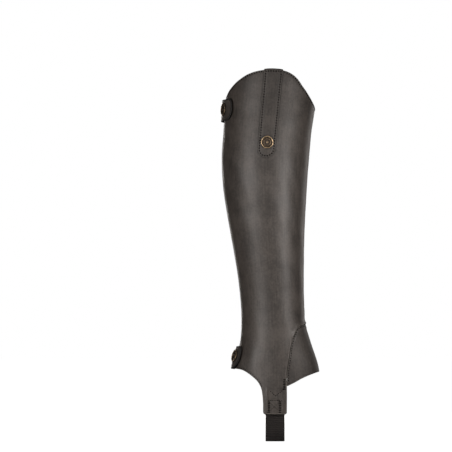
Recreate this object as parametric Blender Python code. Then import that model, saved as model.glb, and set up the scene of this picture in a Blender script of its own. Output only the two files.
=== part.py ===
# A half chap for the right leg, in the rounded shape that it keeps on the leg.
#
# +X is the shin, -X the zip at the back, -Y the outer side of the leg, +Z up. The origin is
# in the middle of the calf, where the leg fills it most. Sizes are millimetres and degrees;
# each mesh is made in metres at the end. A place on the leg is written as an angle and a
# level: the angle is 0 at the zip, 90 on the outer side, 180 at the shin, 270 on the inner
# side. The lift is the height above the smooth leather, along its normal.

import bpy
import numpy as np
from collections import namedtuple
from math import acos, ceil, cos, degrees, hypot, pi, radians, sin
from mathutils import Vector
from mathutils.geometry import delaunay_2d_cdt

MM = 0.001

# Seams and layers
SEAM_GAP = 0.3
WALL = 1.8
SUEDE_DROP = 0.5
GUSSET_DROP = 0.4
LINING_LIFT = -2.7
LINING_THICKNESS = 1.0
LINING_TOP_CLEAR = 1.0
FACING_LIFT = -2.2
FACING_THICKNESS = 1.2
FACING_WIDTH = 7.0
FACING_END = 212.0
FACING_GAP = 1.2
TOP_CLEARANCE = 0.6
INNER_TOP_MARGIN = 2.0

# The leg's outer surface, level by level from the top down. Half width is across Y, and
# widest_x is where along X the widest point of that level lies.
LegSection = namedtuple("LegSection", "level back front half_width widest_x")
SECTIONS = (
    (124.0, -54.0, 78.8, 52.0, 8.0),
    (65.0, -58.6, 71.4, 53.2, 4.0),
    (32.0, -60.6, 66.2, 54.1, 1.8),
    (0.0, -62.8, 63.3, 54.7, 0.0),
    (-47.6, -60.8, 59.7, 53.5, 0.0),
    (-90.9, -54.3, 57.3, 50.5, 2.0),
    (-134.2, -46.5, 55.7, 46.5, 4.5),
    (-177.5, -39.4, 55.4, 42.5, 8.0),
    (-220.8, -35.1, 56.0, 40.3, 11.0),
    (-238.1, -34.5, 57.3, 40.0, 11.5),
    (-264.1, -35.6, 63.8, 40.2, 12.5),
    (-307.4, -45.8, 77.5, 41.0, 13.5),
    (-343.0, -46.5, 81.5, 41.0, 13.5),
    (-373.7, -46.5, 81.5, 40.0, 13.5),
)

# Outlines as rows of (angle, level)
TOP_EDGE = (
    (0.0, 79.0), (9.0, 83.5), (19.0, 91.0), (31.0, 99.6), (44.0, 108.2), (60.0, 116.9),
    (72.0, 120.6), (85.0, 122.4), (95.0, 122.4), (106.0, 120.8), (115.2, 116.6),
    (125.0, 108.2), (132.2, 99.6), (140.8, 90.9), (150.0, 82.3), (161.8, 73.6),
    (175.0, 67.8), (190.0, 65.0), (206.0, 62.6), (222.0, 62.0), (242.0, 65.0),
    (264.0, 69.6), (285.0, 73.6), (316.0, 77.0), (360.0, 79.0),
)
SUEDE_SEAM = (
    (222.0, 62.0), (223.0, 0.0), (223.5, -50.0), (225.0, -97.0), (228.5, -132.0),
    (234.0, -161.0), (240.5, -181.0), (250.0, -200.0), (263.0, -219.0), (278.5, -239.0),
    (294.0, -256.5), (309.0, -269.0), (324.0, -278.0), (340.0, -284.0), (360.0, -287.5),
)
TOP_PEAK = max(level for angle, level in TOP_EDGE)
OUTER_TOP_EDGE = [row for row in TOP_EDGE if row[0] <= SUEDE_SEAM[0][0]]
INNER_TOP_EDGE = [row for row in TOP_EDGE if row[0] >= SUEDE_SEAM[0][0]]
GUSSET_OUTER_SEAM = (
    (105.0, -333.3), (105.7, -310.0), (110.8, -290.3), (116.4, -274.3), (124.1, -260.9),
    (129.4, -255.0), (137.0, -249.0), (158.0, -244.8), (180.0, -243.3),
)
GUSSET_INNER_SEAM = (
    (180.0, -243.3), (203.0, -248.5), (219.0, -256.0), (227.0, -265.0), (233.0, -277.0),
    (239.5, -290.0), (248.0, -306.0), (254.0, -320.0), (255.0, -333.3),
)
FRONT_HEM = (
    (105.0, -333.3), (116.0, -327.6), (125.5, -322.4), (137.3, -318.1), (152.6, -314.5),
    (180.0, -312.0),
)
BACK_HEM = (
    (0.0, -308.4), (18.0, -308.2), (42.0, -311.3), (54.8, -317.8), (65.6, -327.0),
    (69.9, -334.6), (72.3, -345.6), (73.5, -359.0),
)
LINING_HEM = (
    (0.0, -299.0), (30.0, -300.0), (50.0, -305.0), (67.0, -316.0), (79.0, -325.0),
    (90.0, -328.0), (100.0, -324.0), (116.0, -315.0), (137.0, -308.0), (180.0, -303.0),
)
TONGUE_END = -373.7
TONGUE_FRONT_ANGLE = 104.8
TONGUE_CORNER = 2.0

# Points of the flat patterns. A corner keeps this many degrees clear of the next point.
FLAT_MM_PER_DEGREE = 0.95
MITRE_LEAST = 0.6
LATTICE_CLEAR = 0.45
CORNER_CLEAR = 2.0
OUTLINE_STEP = 7.5
COLUMN_DEGREES = 8.0
ROW_MM = 15.0
LINING_STEP = 11.0
LINING_COLUMN = 10.0
LINING_ROW = 20.0
LINING_EDGE_STEP = 29.0

# Zip at the back. Each half profile is rows of (across, lift) and is mirrored at the middle.
ZIP_HALF_SLOT = 5.0
ZIP_TAPE_HALF = 13.0
ZIP_TAPE_CLEAR = 1.0
ZIP_TOP = 76.5
ZIP_BOTTOM = -303.0
ZIP_STEP = 13.5
ZIP_HALF_PROFILE = (
    (ZIP_TAPE_HALF, -3.0), (ZIP_TAPE_HALF, -2.3), (2.4, -2.3), (2.4, -0.5), (1.4, 0.4),
)
SLIDER_LEVELS = (64.0, 70.0, 76.0)
SLIDER_HALF_PROFILE = ((3.0, 0.8), (3.0, -1.2), (4.3, -1.2), (4.3, 1.8), (3.5, 2.4))
PULL_LEVELS = (49.0, 56.0, 63.6)
PULL_HALF_PROFILE = ((2.7, 0.9), (2.7, 2.1))

# Snap tabs across the zip, as rows of (across, lift) of their inner face. Across is the way
# round the back from the zip, the outer side above 0. The rise is how much a tab climbs
# towards the outer side, and the rounds are how deep its corners are cut at an end.
TAB_THICKNESS = 1.6
TAB_POINT_STEP = 5.0
TAB_ROW_STEP = 6.5
TAB_HALF_HEIGHT = 15.7
TAB_END_ROUNDS = {"upper": 8.0, "lower": 14.0}
TAB_RISE = 0.07
TAB_END_FULLNESS = 0.8
TAB_END_TURNS = np.linspace(-85.0, 85.0, 9)
TAB_SQUARE_TURNS = np.linspace(-90.0, 90.0, 5)
TOP_TAB_LEVEL = 62.8
TOP_TAB = (
    (-44.0, 0.1), (-30.0, 0.1), (-18.0, 0.5), (-8.0, 2.2), (0.0, 2.9), (15.0, 2.6), (35.5, 3.2),
)
TOP_SNAP_LEVEL = 65.0
TOP_SNAP_ACROSS = 15.3
BOTTOM_TAB_LEVEL = -292.8
BOTTOM_TAB = ((-3.4, -1.8), (-3.3, 0.2), (-1.9, 1.7), (3.0, 2.5), (11.0, 2.6), (23.5, 3.1))
BOTTOM_SNAP_LEVEL = -290.5
BOTTOM_SNAP_ACROSS = 10.9

# Snap caps and what carries them, as turned profiles of (radius, height)
CAP_SIDES = 28
CAP_PROFILE = (
    (0.0, 0.0), (8.2, 0.0), (9.1, 0.5), (9.2, 1.1), (8.6, 1.7), (7.6, 1.8), (6.9, 1.2),
    (5.4, 1.1), (5.0, 1.5), (3.8, 1.5), (3.4, 1.0), (2.2, 1.0), (1.6, 1.5), (0.0, 1.8),
)
SOCKET_RADIUS = 5.4
SOCKET_SIDES = 20
SOCKET_SLACK = 0.35

# Strap that hangs from the top edge on the outer side. It is laid out in the side view.
STRAP_THICKNESS = 1.4
STRAP_LIFT = 0.3
STRAP_TOP_X = 11.6
STRAP_STUD_X = 2.2
STRAP_STUD_LEVEL = 18.0
STRAP_TOP_HALF = 13.6
STRAP_LOW_HALF = 12.7
STRAP_END = -4.4
STRAP_INSIDE = 7.0
STRAP_FOLD_RISES = (1.65, 0.65)  # the fold's outer and inner face, pressed flatter than round
STRAP_SHARES = np.linspace(-1.0, 1.0, 8)
STRAP_ROWS = 12
STRAP_BEND_ROWS = 6
STRAP_END_TURNS = (14.0, 32.0, 50.0, 70.0)

# Elastic that runs under the boot from tongue to tongue
ELASTIC_X = 13.8
ELASTIC_HALF = 13.7
ELASTIC_THICKNESS = 1.6
ELASTIC_Y = 36.8
ELASTIC_TOP = -354.0
ELASTIC_BOTTOM = -412.7
ELASTIC_CORNER = 22.0
ELASTIC_CORNER_ROWS = 7
ELASTIC_SIDE_ROWS = 4
ELASTIC_COLUMNS = 4

COLOURS = {  # linear red, green, blue, roughness, metallic
    "leather": (0.040, 0.034, 0.030, 0.45, 0.0),
    "suede": (0.020, 0.016, 0.014, 0.95, 0.0),
    "lining": (0.018, 0.015, 0.014, 0.90, 0.0),
    "elastic": (0.012, 0.010, 0.010, 0.85, 0.0),
    "zip": (0.010, 0.009, 0.009, 0.60, 0.0),
    "antique_metal": (0.240, 0.140, 0.070, 0.38, 1.0),
}


# Curves and tables

def smooth_curve(xs, rows):
    """A reader of the smooth curve through the rows. xs rises; rows has a column per value."""
    xs = np.asarray(xs, float)
    rows = np.asarray(rows, float)
    slopes = np.gradient(rows, xs, axis=0)

    def read(x):
        i = int(np.clip(np.searchsorted(xs, x) - 1, 0, len(xs) - 2))
        width = xs[i + 1] - xs[i]
        t = (x - xs[i]) / width
        return (rows[i] * (1 + 2 * t) * (1 - t) ** 2 + rows[i + 1] * t * t * (3 - 2 * t)
                + width * (slopes[i] * t * (1 - t) ** 2 + slopes[i + 1] * t * t * (t - 1)))
    return read


def level_on(rows, angle):
    """The level of an outline at an angle."""
    angles, levels = zip(*rows)
    return float(smooth_curve(angles, [(level,) for level in levels])(angle)[0])


def distances(points):
    """How far along the chain of points each one lies."""
    steps = [hypot(*(np.subtract(b, a))) for a, b in zip(points, points[1:])]
    return np.concatenate(([0.0], np.cumsum(steps)))


def mirrored(half):
    """A half profile and its mirror image, as one closed profile."""
    return tuple(half) + tuple((-across, lift) for across, lift in half[::-1])


def flat(point):
    """Angle and level as a place on the flat pattern."""
    return np.array((point[0] * FLAT_MM_PER_DEGREE, point[1]))


def smooth_line(rows, step=OUTLINE_STEP):
    """Points about a step apart on the smooth curve through the rows, both ends included."""
    lengths = distances([flat(row) for row in rows])
    count = max(1, ceil(lengths[-1] / step))
    read = smooth_curve(lengths, rows)
    return [tuple(read(t)) for t in np.linspace(0, lengths[-1], count + 1)]


def moved_in(outline, gap):
    """The closed flat outline with every side moved inwards by the gap."""
    points = [flat(p) for p in outline]
    area = sum(a[0] * b[1] - b[0] * a[1] for a, b in zip(points, points[1:] + points[:1]))
    turn = 1.0 if area > 0 else -1.0
    moved = []
    for before, here, after in zip(points[-1:] + points[:-1], points, points[1:] + points[:1]):
        sides = [(b - a) / hypot(*(b - a)) for a, b in ((before, here), (here, after))]
        normals = [turn * np.array((-d[1], d[0])) for d in sides]
        middle = normals[0] + normals[1]
        middle = middle / max(MITRE_LEAST, float(middle @ normals[0]))
        moved.append(here + gap * middle)
    return [(p[0] / FLAT_MM_PER_DEGREE, p[1]) for p in moved]


def beside(line, distance):
    """The flat line moved this far below itself, for a line whose angle rises."""
    points = [flat(p) for p in line]
    ways = np.gradient(np.array(points), axis=0)
    moved = [p + distance * np.array((way[1], -way[0])) / hypot(*way)
             for p, way in zip(points, ways)]
    return [(p[0] / FLAT_MM_PER_DEGREE, p[1]) for p in moved]


def cut_at(line, first, last):
    """The stretch of a flat line between two angles."""
    angles, levels = zip(*line)
    ends = [(angle, float(np.interp(angle, angles, levels))) for angle in (first, last)]
    return ends[:1] + between(line, first, last) + ends[1:]


def between(line, first, last):
    """The points of a line that lie between two angles, clear of both."""
    return [p for p in line if first + CORNER_CLEAR < p[0] < last - CORNER_CLEAR]


def other_side(rows):
    """The same rows on the other side of the leg."""
    return [(360.0 - angle, level) for angle, level in rows]


# The leg surface

UPWARD_SECTIONS = np.array(SECTIONS)[::-1]
read_section = smooth_curve(UPWARD_SECTIONS[:, 0], UPWARD_SECTIONS[:, 1:])


def section_at(level):
    return LegSection(level, *read_section(level))


def skin(angle, level):
    """The point of the smooth leather surface at an angle and level."""
    cut = section_at(level)
    turn = radians(angle)
    reach = cut.widest_x - cut.back if cos(turn) > 0 else cut.front - cut.widest_x
    return Vector((cut.widest_x - reach * cos(turn), -cut.half_width * sin(turn), level))


def skin_normal(angle, level, step=0.5):
    around = skin(angle + step, level) - skin(angle - step, level)
    up = skin(angle, level + step) - skin(angle, level - step)
    return around.cross(up).normalized()


def lifted(angle, level, lift):
    return skin(angle, level) + float(lift) * skin_normal(angle, level)


def angle_across(across, level):
    """The angle that lies this many millimetres round the back from the zip."""
    angles = np.arange(0.0, 91.0, 2.0)
    lengths = distances([skin(angle, level).xy for angle in angles])
    return float(np.interp(abs(across), lengths, angles)) * (1 if across >= 0 else -1)


def angle_at_x(x, level):
    """The angle on the outer side that shows at x in the side view."""
    cut = section_at(level)
    reach = cut.widest_x - cut.back if x < cut.widest_x else cut.front - cut.widest_x
    return degrees(acos(np.clip((cut.widest_x - x) / reach, -1.0, 1.0)))


def zip_edge(bottom, top, across=ZIP_HALF_SLOT, step=ROW_MM):
    """An edge beside the zip on the outer side, from a bottom to a top level."""
    count = ceil((top - bottom) / step)
    levels = np.linspace(bottom, top, count + 1)
    return [(angle_across(across, level), level) for level in levels]


def slot_level(rows, side):
    """The level at which an outline meets the zip's slot, side 1 outer or -1 inner."""
    middle = 0.0 if side > 0 else 360.0
    corner = angle_across(ZIP_HALF_SLOT, level_on(rows, middle))
    return level_on(rows, middle + side * corner)


# Meshes

def material(name):
    made = bpy.data.materials.get(name) or bpy.data.materials.new(name)
    made.use_nodes = True
    shader = made.node_tree.nodes["Principled BSDF"]
    red, green, blue, roughness, metallic = COLOURS[name]
    shader.inputs["Base Color"].default_value = (red, green, blue, 1.0)
    shader.inputs["Roughness"].default_value = roughness
    shader.inputs["Metallic"].default_value = metallic
    made.diffuse_color = (red, green, blue, 1.0)
    return made


def solid(name, points, faces, finish):
    """One named object in metres. Faces that all point in are turned round."""
    volume = sum(points[f[0]].dot(points[f[i]].cross(points[f[i + 1]]))
                 for f in faces for i in range(1, len(f) - 1))
    if volume < 0:
        faces = [tuple(reversed(face)) for face in faces]
    mesh = bpy.data.meshes.new(name)
    mesh.from_pydata([p * MM for p in points], [], faces)
    mesh.materials.append(material(finish))
    made = bpy.data.objects.new(name, mesh)
    bpy.context.collection.objects.link(made)
    return made


def inside_points(outline, column, row):
    """A staggered lattice of flat points that keep clear of the closed outline."""
    loop = np.array(outline)
    after = np.roll(loop, -1, axis=0)
    side = after - loop
    low, high = loop.min(axis=0), loop.max(axis=0)
    kept = []
    for j in range(1, ceil((high[1] - low[1]) / row)):
        shift = 0.5 * (j % 2)
        for i in range(ceil((high[0] - low[0]) / column)):
            p = np.array((low[0] + (i + shift) * column, low[1] + j * row))
            along = np.clip(((p - loop) * side).sum(axis=1) / (side ** 2).sum(axis=1), 0, 1)
            clear = np.hypot(*(loop + along[:, None] * side - p).T).min()
            crossed = (loop[:, 1] > p[1]) != (after[:, 1] > p[1])
            x = loop[:, 0] + (p[1] - loop[:, 1]) / np.where(crossed, side[:, 1], 1.0) * side[:, 0]
            within = np.count_nonzero(crossed & (x > p[0])) % 2
            if within and clear > LATTICE_CLEAR * min(column, row):
                kept.append(p)
    return kept


def panel(name, outline, place, finish, column, row):
    """A wall cut to a flat outline. place(point, side) gives its outer (0) and inner (1) point."""
    loop = [Vector(p) for p in outline]
    flat_points = loop + [Vector(p) for p in inside_points(outline, column, row)]
    edges = [(i, (i + 1) % len(loop)) for i in range(len(loop))]
    inside_only = 1
    merge = 1e-5
    flat_points, _, triangles, *_ = delaunay_2d_cdt(flat_points, edges, [], inside_only, merge)
    count = len(flat_points)
    points = [place(p, side) for side in (0, 1) for p in flat_points]
    faces = [tuple(t) for t in triangles]
    directed = {(t[i], t[(i + 1) % 3]) for t in faces for i in range(3)}
    rim = [(a, b) for a, b in directed if (b, a) not in directed]
    faces += [tuple(count + i for i in reversed(t)) for t in triangles]
    faces += [(a, a + count, b + count, b) for a, b in sorted(rim)]
    return solid(name, points, faces, finish)


def leg_panel(name, outline, finish, lift, thickness, column=COLUMN_DEGREES, row=ROW_MM):
    """A panel whose outline is in angles and levels, at a lift from the leather surface."""
    def place(point, side):
        return lifted(point[0] / FLAT_MM_PER_DEGREE, point[1], lift - side * thickness)
    shape = [tuple(flat(p)) for p in moved_in(outline, SEAM_GAP / 2)]
    return panel(name, shape, place, finish, column * FLAT_MM_PER_DEGREE, row)


def slab(name, outer, inner, finish):
    """A closed sheet from two equal grids of points, rows of columns."""
    rows, columns = len(outer), len(outer[0])
    points = [p for grid in (outer, inner) for row in grid for p in row]
    back = rows * columns

    def at(i, j):
        return i * columns + j
    faces = []
    for i in range(rows - 1):
        for j in range(columns - 1):
            quad = (at(i, j), at(i, j + 1), at(i + 1, j + 1), at(i + 1, j))
            faces += [quad, tuple(back + v for v in reversed(quad))]
    rim = [at(0, j) for j in range(columns)]
    rim += [at(i, columns - 1) for i in range(1, rows)]
    rim += [at(rows - 1, j) for j in range(columns - 2, -1, -1)]
    rim += [at(i, 0) for i in range(rows - 2, 0, -1)]
    faces += [(b, a, a + back, b + back) for a, b in zip(rim, rim[1:] + rim[:1])]
    return solid(name, points, faces, finish)


def swept(name, profile, levels, finish):
    """A closed profile of (across, lift), carried along the zip through the levels."""
    points = [lifted(angle_across(across, level), level, lift)
              for level in levels for across, lift in profile]
    n = len(profile)
    faces = [(k * n + i, k * n + (i + 1) % n, (k + 1) * n + (i + 1) % n, (k + 1) * n + i)
             for k in range(len(levels) - 1) for i in range(n)]
    faces += [tuple(range(n - 1, -1, -1)), tuple((len(levels) - 1) * n + i for i in range(n))]
    return solid(name, points, faces, finish)


def turned(name, profile, foot, axis, sides, finish):
    """A profile of (radius, height) turned about an axis that starts at the foot."""
    axis = axis.normalized()
    right = axis.orthogonal().normalized()
    ahead = axis.cross(right)
    rings, points = [], []
    for radius, height in profile:
        spin = sides if radius > 0 else 1
        rings.append(range(len(points), len(points) + spin))
        points += [foot + axis * height + radius * (cos(2 * pi * k / sides) * right
                   + sin(2 * pi * k / sides) * ahead) for k in range(spin)]
    faces = []
    for low, high in zip(rings, rings[1:]):
        for k in range(sides):
            corners = (low[k % len(low)], low[(k + 1) % len(low)],
                       high[(k + 1) % len(high)], high[k % len(high)])
            faces.append(tuple(dict.fromkeys(corners)))
    return solid(name, points, faces, finish)


# The pieces

def leather_leg():
    """Outer side, shin and lower inner side with both tongues, cut in one."""
    back = BACK_HEM[-1][0]
    tongue = [(TONGUE_FRONT_ANGLE, TONGUE_END + TONGUE_CORNER),
              (TONGUE_FRONT_ANGLE - TONGUE_CORNER, TONGUE_END),
              (back + TONGUE_CORNER, TONGUE_END),
              (back, TONGUE_END + TONGUE_CORNER)]
    hem = smooth_line(BACK_HEM)
    outer_edge = zip_edge(BACK_HEM[0][1], slot_level(TOP_EDGE, 1))
    inner_edge = other_side(zip_edge(BACK_HEM[0][1], slot_level(SUEDE_SEAM, -1)))
    seam_start, seam_end = SUEDE_SEAM[0][0], inner_edge[-1][0]
    outline = list(outer_edge)
    outline += between(smooth_line(OUTER_TOP_EDGE), outer_edge[-1][0], seam_start)
    outline += [SUEDE_SEAM[0]] + [p for p in smooth_line(SUEDE_SEAM)[1:] if p[0] < seam_end - CORNER_CLEAR]
    outline += inner_edge[::-1]
    outline += [p for p in other_side(hem) if p[0] < inner_edge[0][0] - CORNER_CLEAR]
    outline += other_side(tongue)[::-1]
    outline += smooth_line(GUSSET_INNER_SEAM)[::-1]
    outline += smooth_line(GUSSET_OUTER_SEAM)[::-1][1:]
    outline += tongue
    outline += [p for p in hem[::-1] if p[0] > outer_edge[0][0] + CORNER_CLEAR]
    return leg_panel("leather_leg", outline, "leather", 0.0, WALL)


def suede_calf():
    """Inner side, from the seam beside the shin round to the zip."""
    edge = other_side(zip_edge(slot_level(SUEDE_SEAM, -1), slot_level(TOP_EDGE, -1)))
    outline = [p for p in smooth_line(SUEDE_SEAM) if p[0] < edge[0][0] - CORNER_CLEAR]
    outline += edge
    outline += between(smooth_line(INNER_TOP_EDGE), SUEDE_SEAM[0][0], edge[-1][0])[::-1]
    return leg_panel("suede_calf", outline, "suede", -SUEDE_DROP, WALL - SUEDE_DROP)


def front_gusset():
    """The piece let into the notch over the instep."""
    hem = smooth_line(FRONT_HEM)
    outline = smooth_line(GUSSET_OUTER_SEAM) + smooth_line(GUSSET_INNER_SEAM)[1:]
    outline += other_side(hem)[1:] + hem[::-1][1:-1]
    return leg_panel("front_gusset", outline, "leather", -GUSSET_DROP, WALL - GUSSET_DROP)


def lining():
    """The cloth inside, from zip tape to zip tape, below the facing and above the hems."""
    edge = zip_edge(LINING_HEM[0][1], TOP_EDGE[0][1] - FACING_WIDTH,
                    ZIP_TAPE_HALF + ZIP_TAPE_CLEAR, LINING_EDGE_STEP)
    outer_top = beside(smooth_line(OUTER_TOP_EDGE, LINING_STEP), FACING_WIDTH + LINING_TOP_CLEAR)
    inner_top = beside(smooth_line(INNER_TOP_EDGE, LINING_STEP), INNER_TOP_MARGIN)
    step_angle = (outer_top[-1][0] + FACING_END) / 2
    first, last = edge[0][0] + CORNER_CLEAR, edge[-1][0] + CORNER_CLEAR
    hem = [p for p in smooth_line(LINING_HEM, LINING_STEP) if p[0] > first + CORNER_CLEAR]
    outline = list(edge)
    outline += between(outer_top, last, step_angle + CORNER_CLEAR)
    outline += [(step_angle, outer_top[-1][1]), (step_angle + CORNER_CLEAR, inner_top[0][1])]
    outline += between(inner_top, step_angle + 2 * CORNER_CLEAR, 360.0 - last)
    outline += other_side(edge)[::-1]
    outline += other_side(hem) + hem[::-1][1:]
    return leg_panel("lining", outline, "lining", LINING_LIFT, LINING_THICKNESS,
                     LINING_COLUMN, LINING_ROW)


def top_facing(name, first, last):
    """A turned strip of leather along the inside of the top edge between two angles."""
    edge = smooth_line(OUTER_TOP_EDGE)
    outline = cut_at(beside(edge, TOP_CLEARANCE), first, last)
    outline += cut_at(beside(edge, FACING_WIDTH), first, last)[::-1]
    return leg_panel(name, outline, "leather", FACING_LIFT, FACING_THICKNESS)


def strap_angle(share, level):
    """The angle of a place on the strap. Share runs from -1 at its back edge to 1."""
    rise = (level - STRAP_STUD_LEVEL) / (TOP_PEAK - STRAP_STUD_LEVEL)
    middle = STRAP_STUD_X + rise * (STRAP_TOP_X - STRAP_STUD_X)
    half = STRAP_LOW_HALF + max(0.0, rise) * (STRAP_TOP_HALF - STRAP_LOW_HALF)
    return angle_at_x(middle + share * half, level)


def strap_row(offset, outer, inner):
    """Outer and inner points across the fold, each from a (rise, lift) off the top edge."""
    rows = ([], [])
    for share in STRAP_SHARES:
        angle = strap_angle(share, TOP_PEAK + offset)
        for row, (rise, lift) in zip(rows, (outer, inner)):
            row.append(lifted(angle, level_on(TOP_EDGE, angle) + rise, lift))
    return rows


def top_strap():
    """A strap down the outer side, folded over the top edge, with a round lower end."""
    grids = ([], [])
    face = (STRAP_LIFT + STRAP_THICKNESS, STRAP_LIFT)
    round_from = STRAP_END + STRAP_LOW_HALF
    for turn in STRAP_END_TURNS:
        level = round_from - STRAP_LOW_HALF * cos(radians(turn))
        for grid, lift in zip(grids, face):
            grid.append([lifted(strap_angle(share * sin(radians(turn)), level), level, lift)
                         for share in STRAP_SHARES])
    for climb in np.linspace(0, 1, STRAP_ROWS)[:-1]:
        angles = [strap_angle(share, round_from + climb * (TOP_PEAK - round_from))
                  for share in STRAP_SHARES]
        places = [(angle, round_from + climb * (level_on(TOP_EDGE, angle) - round_from))
                  for angle in angles]
        for grid, lift in zip(grids, face):
            grid.append([lifted(angle, level, lift) for angle, level in places])
    middle = -WALL / 2
    small = STRAP_LIFT - middle
    large = small + STRAP_THICKNESS
    for turn in np.linspace(0, 180, STRAP_BEND_ROWS):
        up, out = sin(radians(turn)), cos(radians(turn))
        ends = [(rise * up - STRAP_LIFT, middle + radius * out)
                for rise, radius in zip(STRAP_FOLD_RISES, (large, small))]
        for grid, row in zip(grids, strap_row(0.0, *ends)):
            grid.append(row)
    for drop in (STRAP_INSIDE / 2, STRAP_INSIDE):
        ends = [(-drop, middle - radius) for radius in (large, small)]
        for grid, row in zip(grids, strap_row(-drop, *ends)):
            grid.append(row)
    return slab("top_strap", *grids, "leather")


def tab(name, level, rows, rounded_start):
    """A snap tab that follows rows of (across, lift) round the back, its far end rounded."""
    lengths = distances(rows)
    length = lengths[-1]
    inner_face = smooth_curve(lengths, rows)
    ahead = 0.05

    def place(point, side):
        here = inner_face(point[0])
        along = inner_face(point[0] + ahead) - here
        outward = np.array((-along[1], along[0])) / hypot(*along)
        across, lift = here + (1 - side) * TAB_THICKNESS * outward
        height = level + point[1] + TAB_RISE * across
        return lifted(angle_across(across, height), height, lift)

    def depth(rounded, share):
        return TAB_END_ROUNDS["upper" if share > 0 else "lower"] if rounded else 0.0
    outline = []
    for end, way, rounded in ((0.0, 1, rounded_start), (length, -1, True)):
        for turn in TAB_END_TURNS if rounded else TAB_SQUARE_TURNS:
            share = -way * sin(radians(turn))
            inset = depth(rounded, share) * (1 - abs(cos(radians(turn))) ** TAB_END_FULLNESS)
            outline.append((end + way * inset, share * TAB_HALF_HEIGHT))
        start, edge = outline[-1]
        stop = length - depth(True, edge) if way > 0 else depth(rounded_start, edge)
        count = ceil(abs(stop - start) / TAB_POINT_STEP)
        outline += [(s, edge) for s in np.linspace(start, stop, count + 1)[1:-1]]
    return panel(name, outline, place, "leather", TAB_POINT_STEP, TAB_ROW_STEP)


def snap(name, tab_rows, level, across):
    """A snap's cap on top of a tab and its socket between the tab and the leg."""
    angle = angle_across(across, level)
    normal = skin_normal(angle, level)
    inner = float(np.interp(across, *zip(*tab_rows)))
    cap_lift = inner + TAB_THICKNESS + SEAM_GAP
    turned(name + "_snap_cap", CAP_PROFILE, lifted(angle, level, cap_lift), normal,
           CAP_SIDES, "antique_metal")
    height = inner - 2 * SEAM_GAP - SOCKET_SLACK
    socket = ((0.0, 0.0), (SOCKET_RADIUS, 0.0), (SOCKET_RADIUS, height), (0.0, height))
    turned(name + "_snap_socket", socket, lifted(angle, level, SEAM_GAP), normal,
           SOCKET_SIDES, "antique_metal")


def strap_cap():
    angle = strap_angle(0.0, STRAP_STUD_LEVEL)
    lift = STRAP_LIFT + STRAP_THICKNESS + SEAM_GAP
    turned("strap_cap", CAP_PROFILE, lifted(angle, STRAP_STUD_LEVEL, lift),
           skin_normal(angle, STRAP_STUD_LEVEL), CAP_SIDES, "antique_metal")


def stirrup_elastic():
    """A flat U of elastic whose ends lie behind the two tongues."""
    half = ELASTIC_Y
    corner = (half - ELASTIC_CORNER, ELASTIC_BOTTOM + ELASTIC_CORNER)
    sides = np.linspace(ELASTIC_TOP, corner[1], ELASTIC_SIDE_ROWS)[:-1]
    path = [(half, level, 1.0, 0.0) for level in sides]
    for turn in np.linspace(0, 90, ELASTIC_CORNER_ROWS):
        out, down = cos(radians(turn)), -sin(radians(turn))
        path.append((corner[0] + ELASTIC_CORNER * out, corner[1] + ELASTIC_CORNER * down,
                     out, down))
    path += [(-y, level, -out, down) for y, level, out, down in path[::-1]]
    across = ELASTIC_X + ELASTIC_HALF * np.linspace(-1, 1, ELASTIC_COLUMNS)
    grids = [[[Vector((x, -(y - depth * out), level - depth * down)) for x in across]
              for y, level, out, down in path] for depth in (0.0, ELASTIC_THICKNESS)]
    return slab("stirrup_elastic", *grids, "elastic")


def build():
    for old in list(bpy.data.objects):
        bpy.data.objects.remove(old)
    leather_leg()
    suede_calf()
    front_gusset()
    lining()
    strap_back, strap_front = (strap_angle(share, TOP_PEAK) for share in (-1, 1))
    zip_side = angle_across(ZIP_TAPE_HALF + ZIP_TAPE_CLEAR, TOP_EDGE[0][1])
    top_facing("top_facing_back", zip_side, strap_back - FACING_GAP)
    top_facing("top_facing_front", strap_front + FACING_GAP, FACING_END)
    top_strap()
    strap_cap()
    count = ceil((ZIP_TOP - ZIP_BOTTOM) / ZIP_STEP)
    zip_levels = np.linspace(ZIP_BOTTOM, ZIP_TOP, count + 1)
    swept("zip_tape", mirrored(ZIP_HALF_PROFILE), zip_levels, "zip")
    swept("zip_slider", mirrored(SLIDER_HALF_PROFILE), SLIDER_LEVELS, "antique_metal")
    swept("zip_pull", mirrored(PULL_HALF_PROFILE), PULL_LEVELS, "antique_metal")
    tab("top_tab", TOP_TAB_LEVEL, TOP_TAB, True)
    tab("bottom_tab", BOTTOM_TAB_LEVEL, BOTTOM_TAB, False)
    snap("top", TOP_TAB, TOP_SNAP_LEVEL, TOP_SNAP_ACROSS)
    snap("bottom", BOTTOM_TAB, BOTTOM_SNAP_LEVEL, BOTTOM_SNAP_ACROSS)
    stirrup_elastic()


build()
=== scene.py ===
# %% [markdown]
# # A half chap for the right leg
#
# A half chap is a leather sleeve that a rider zips round the calf above a short boot. The
# outer side is smooth leather and stands high, the inner side is suede where it grips the
# saddle, and an elastic under the boot holds it down. The solids already say where each piece
# lies and how large it is. This lesson cuts each one again in finer mesh, sews it, gives it its
# finish and lights it.

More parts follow.
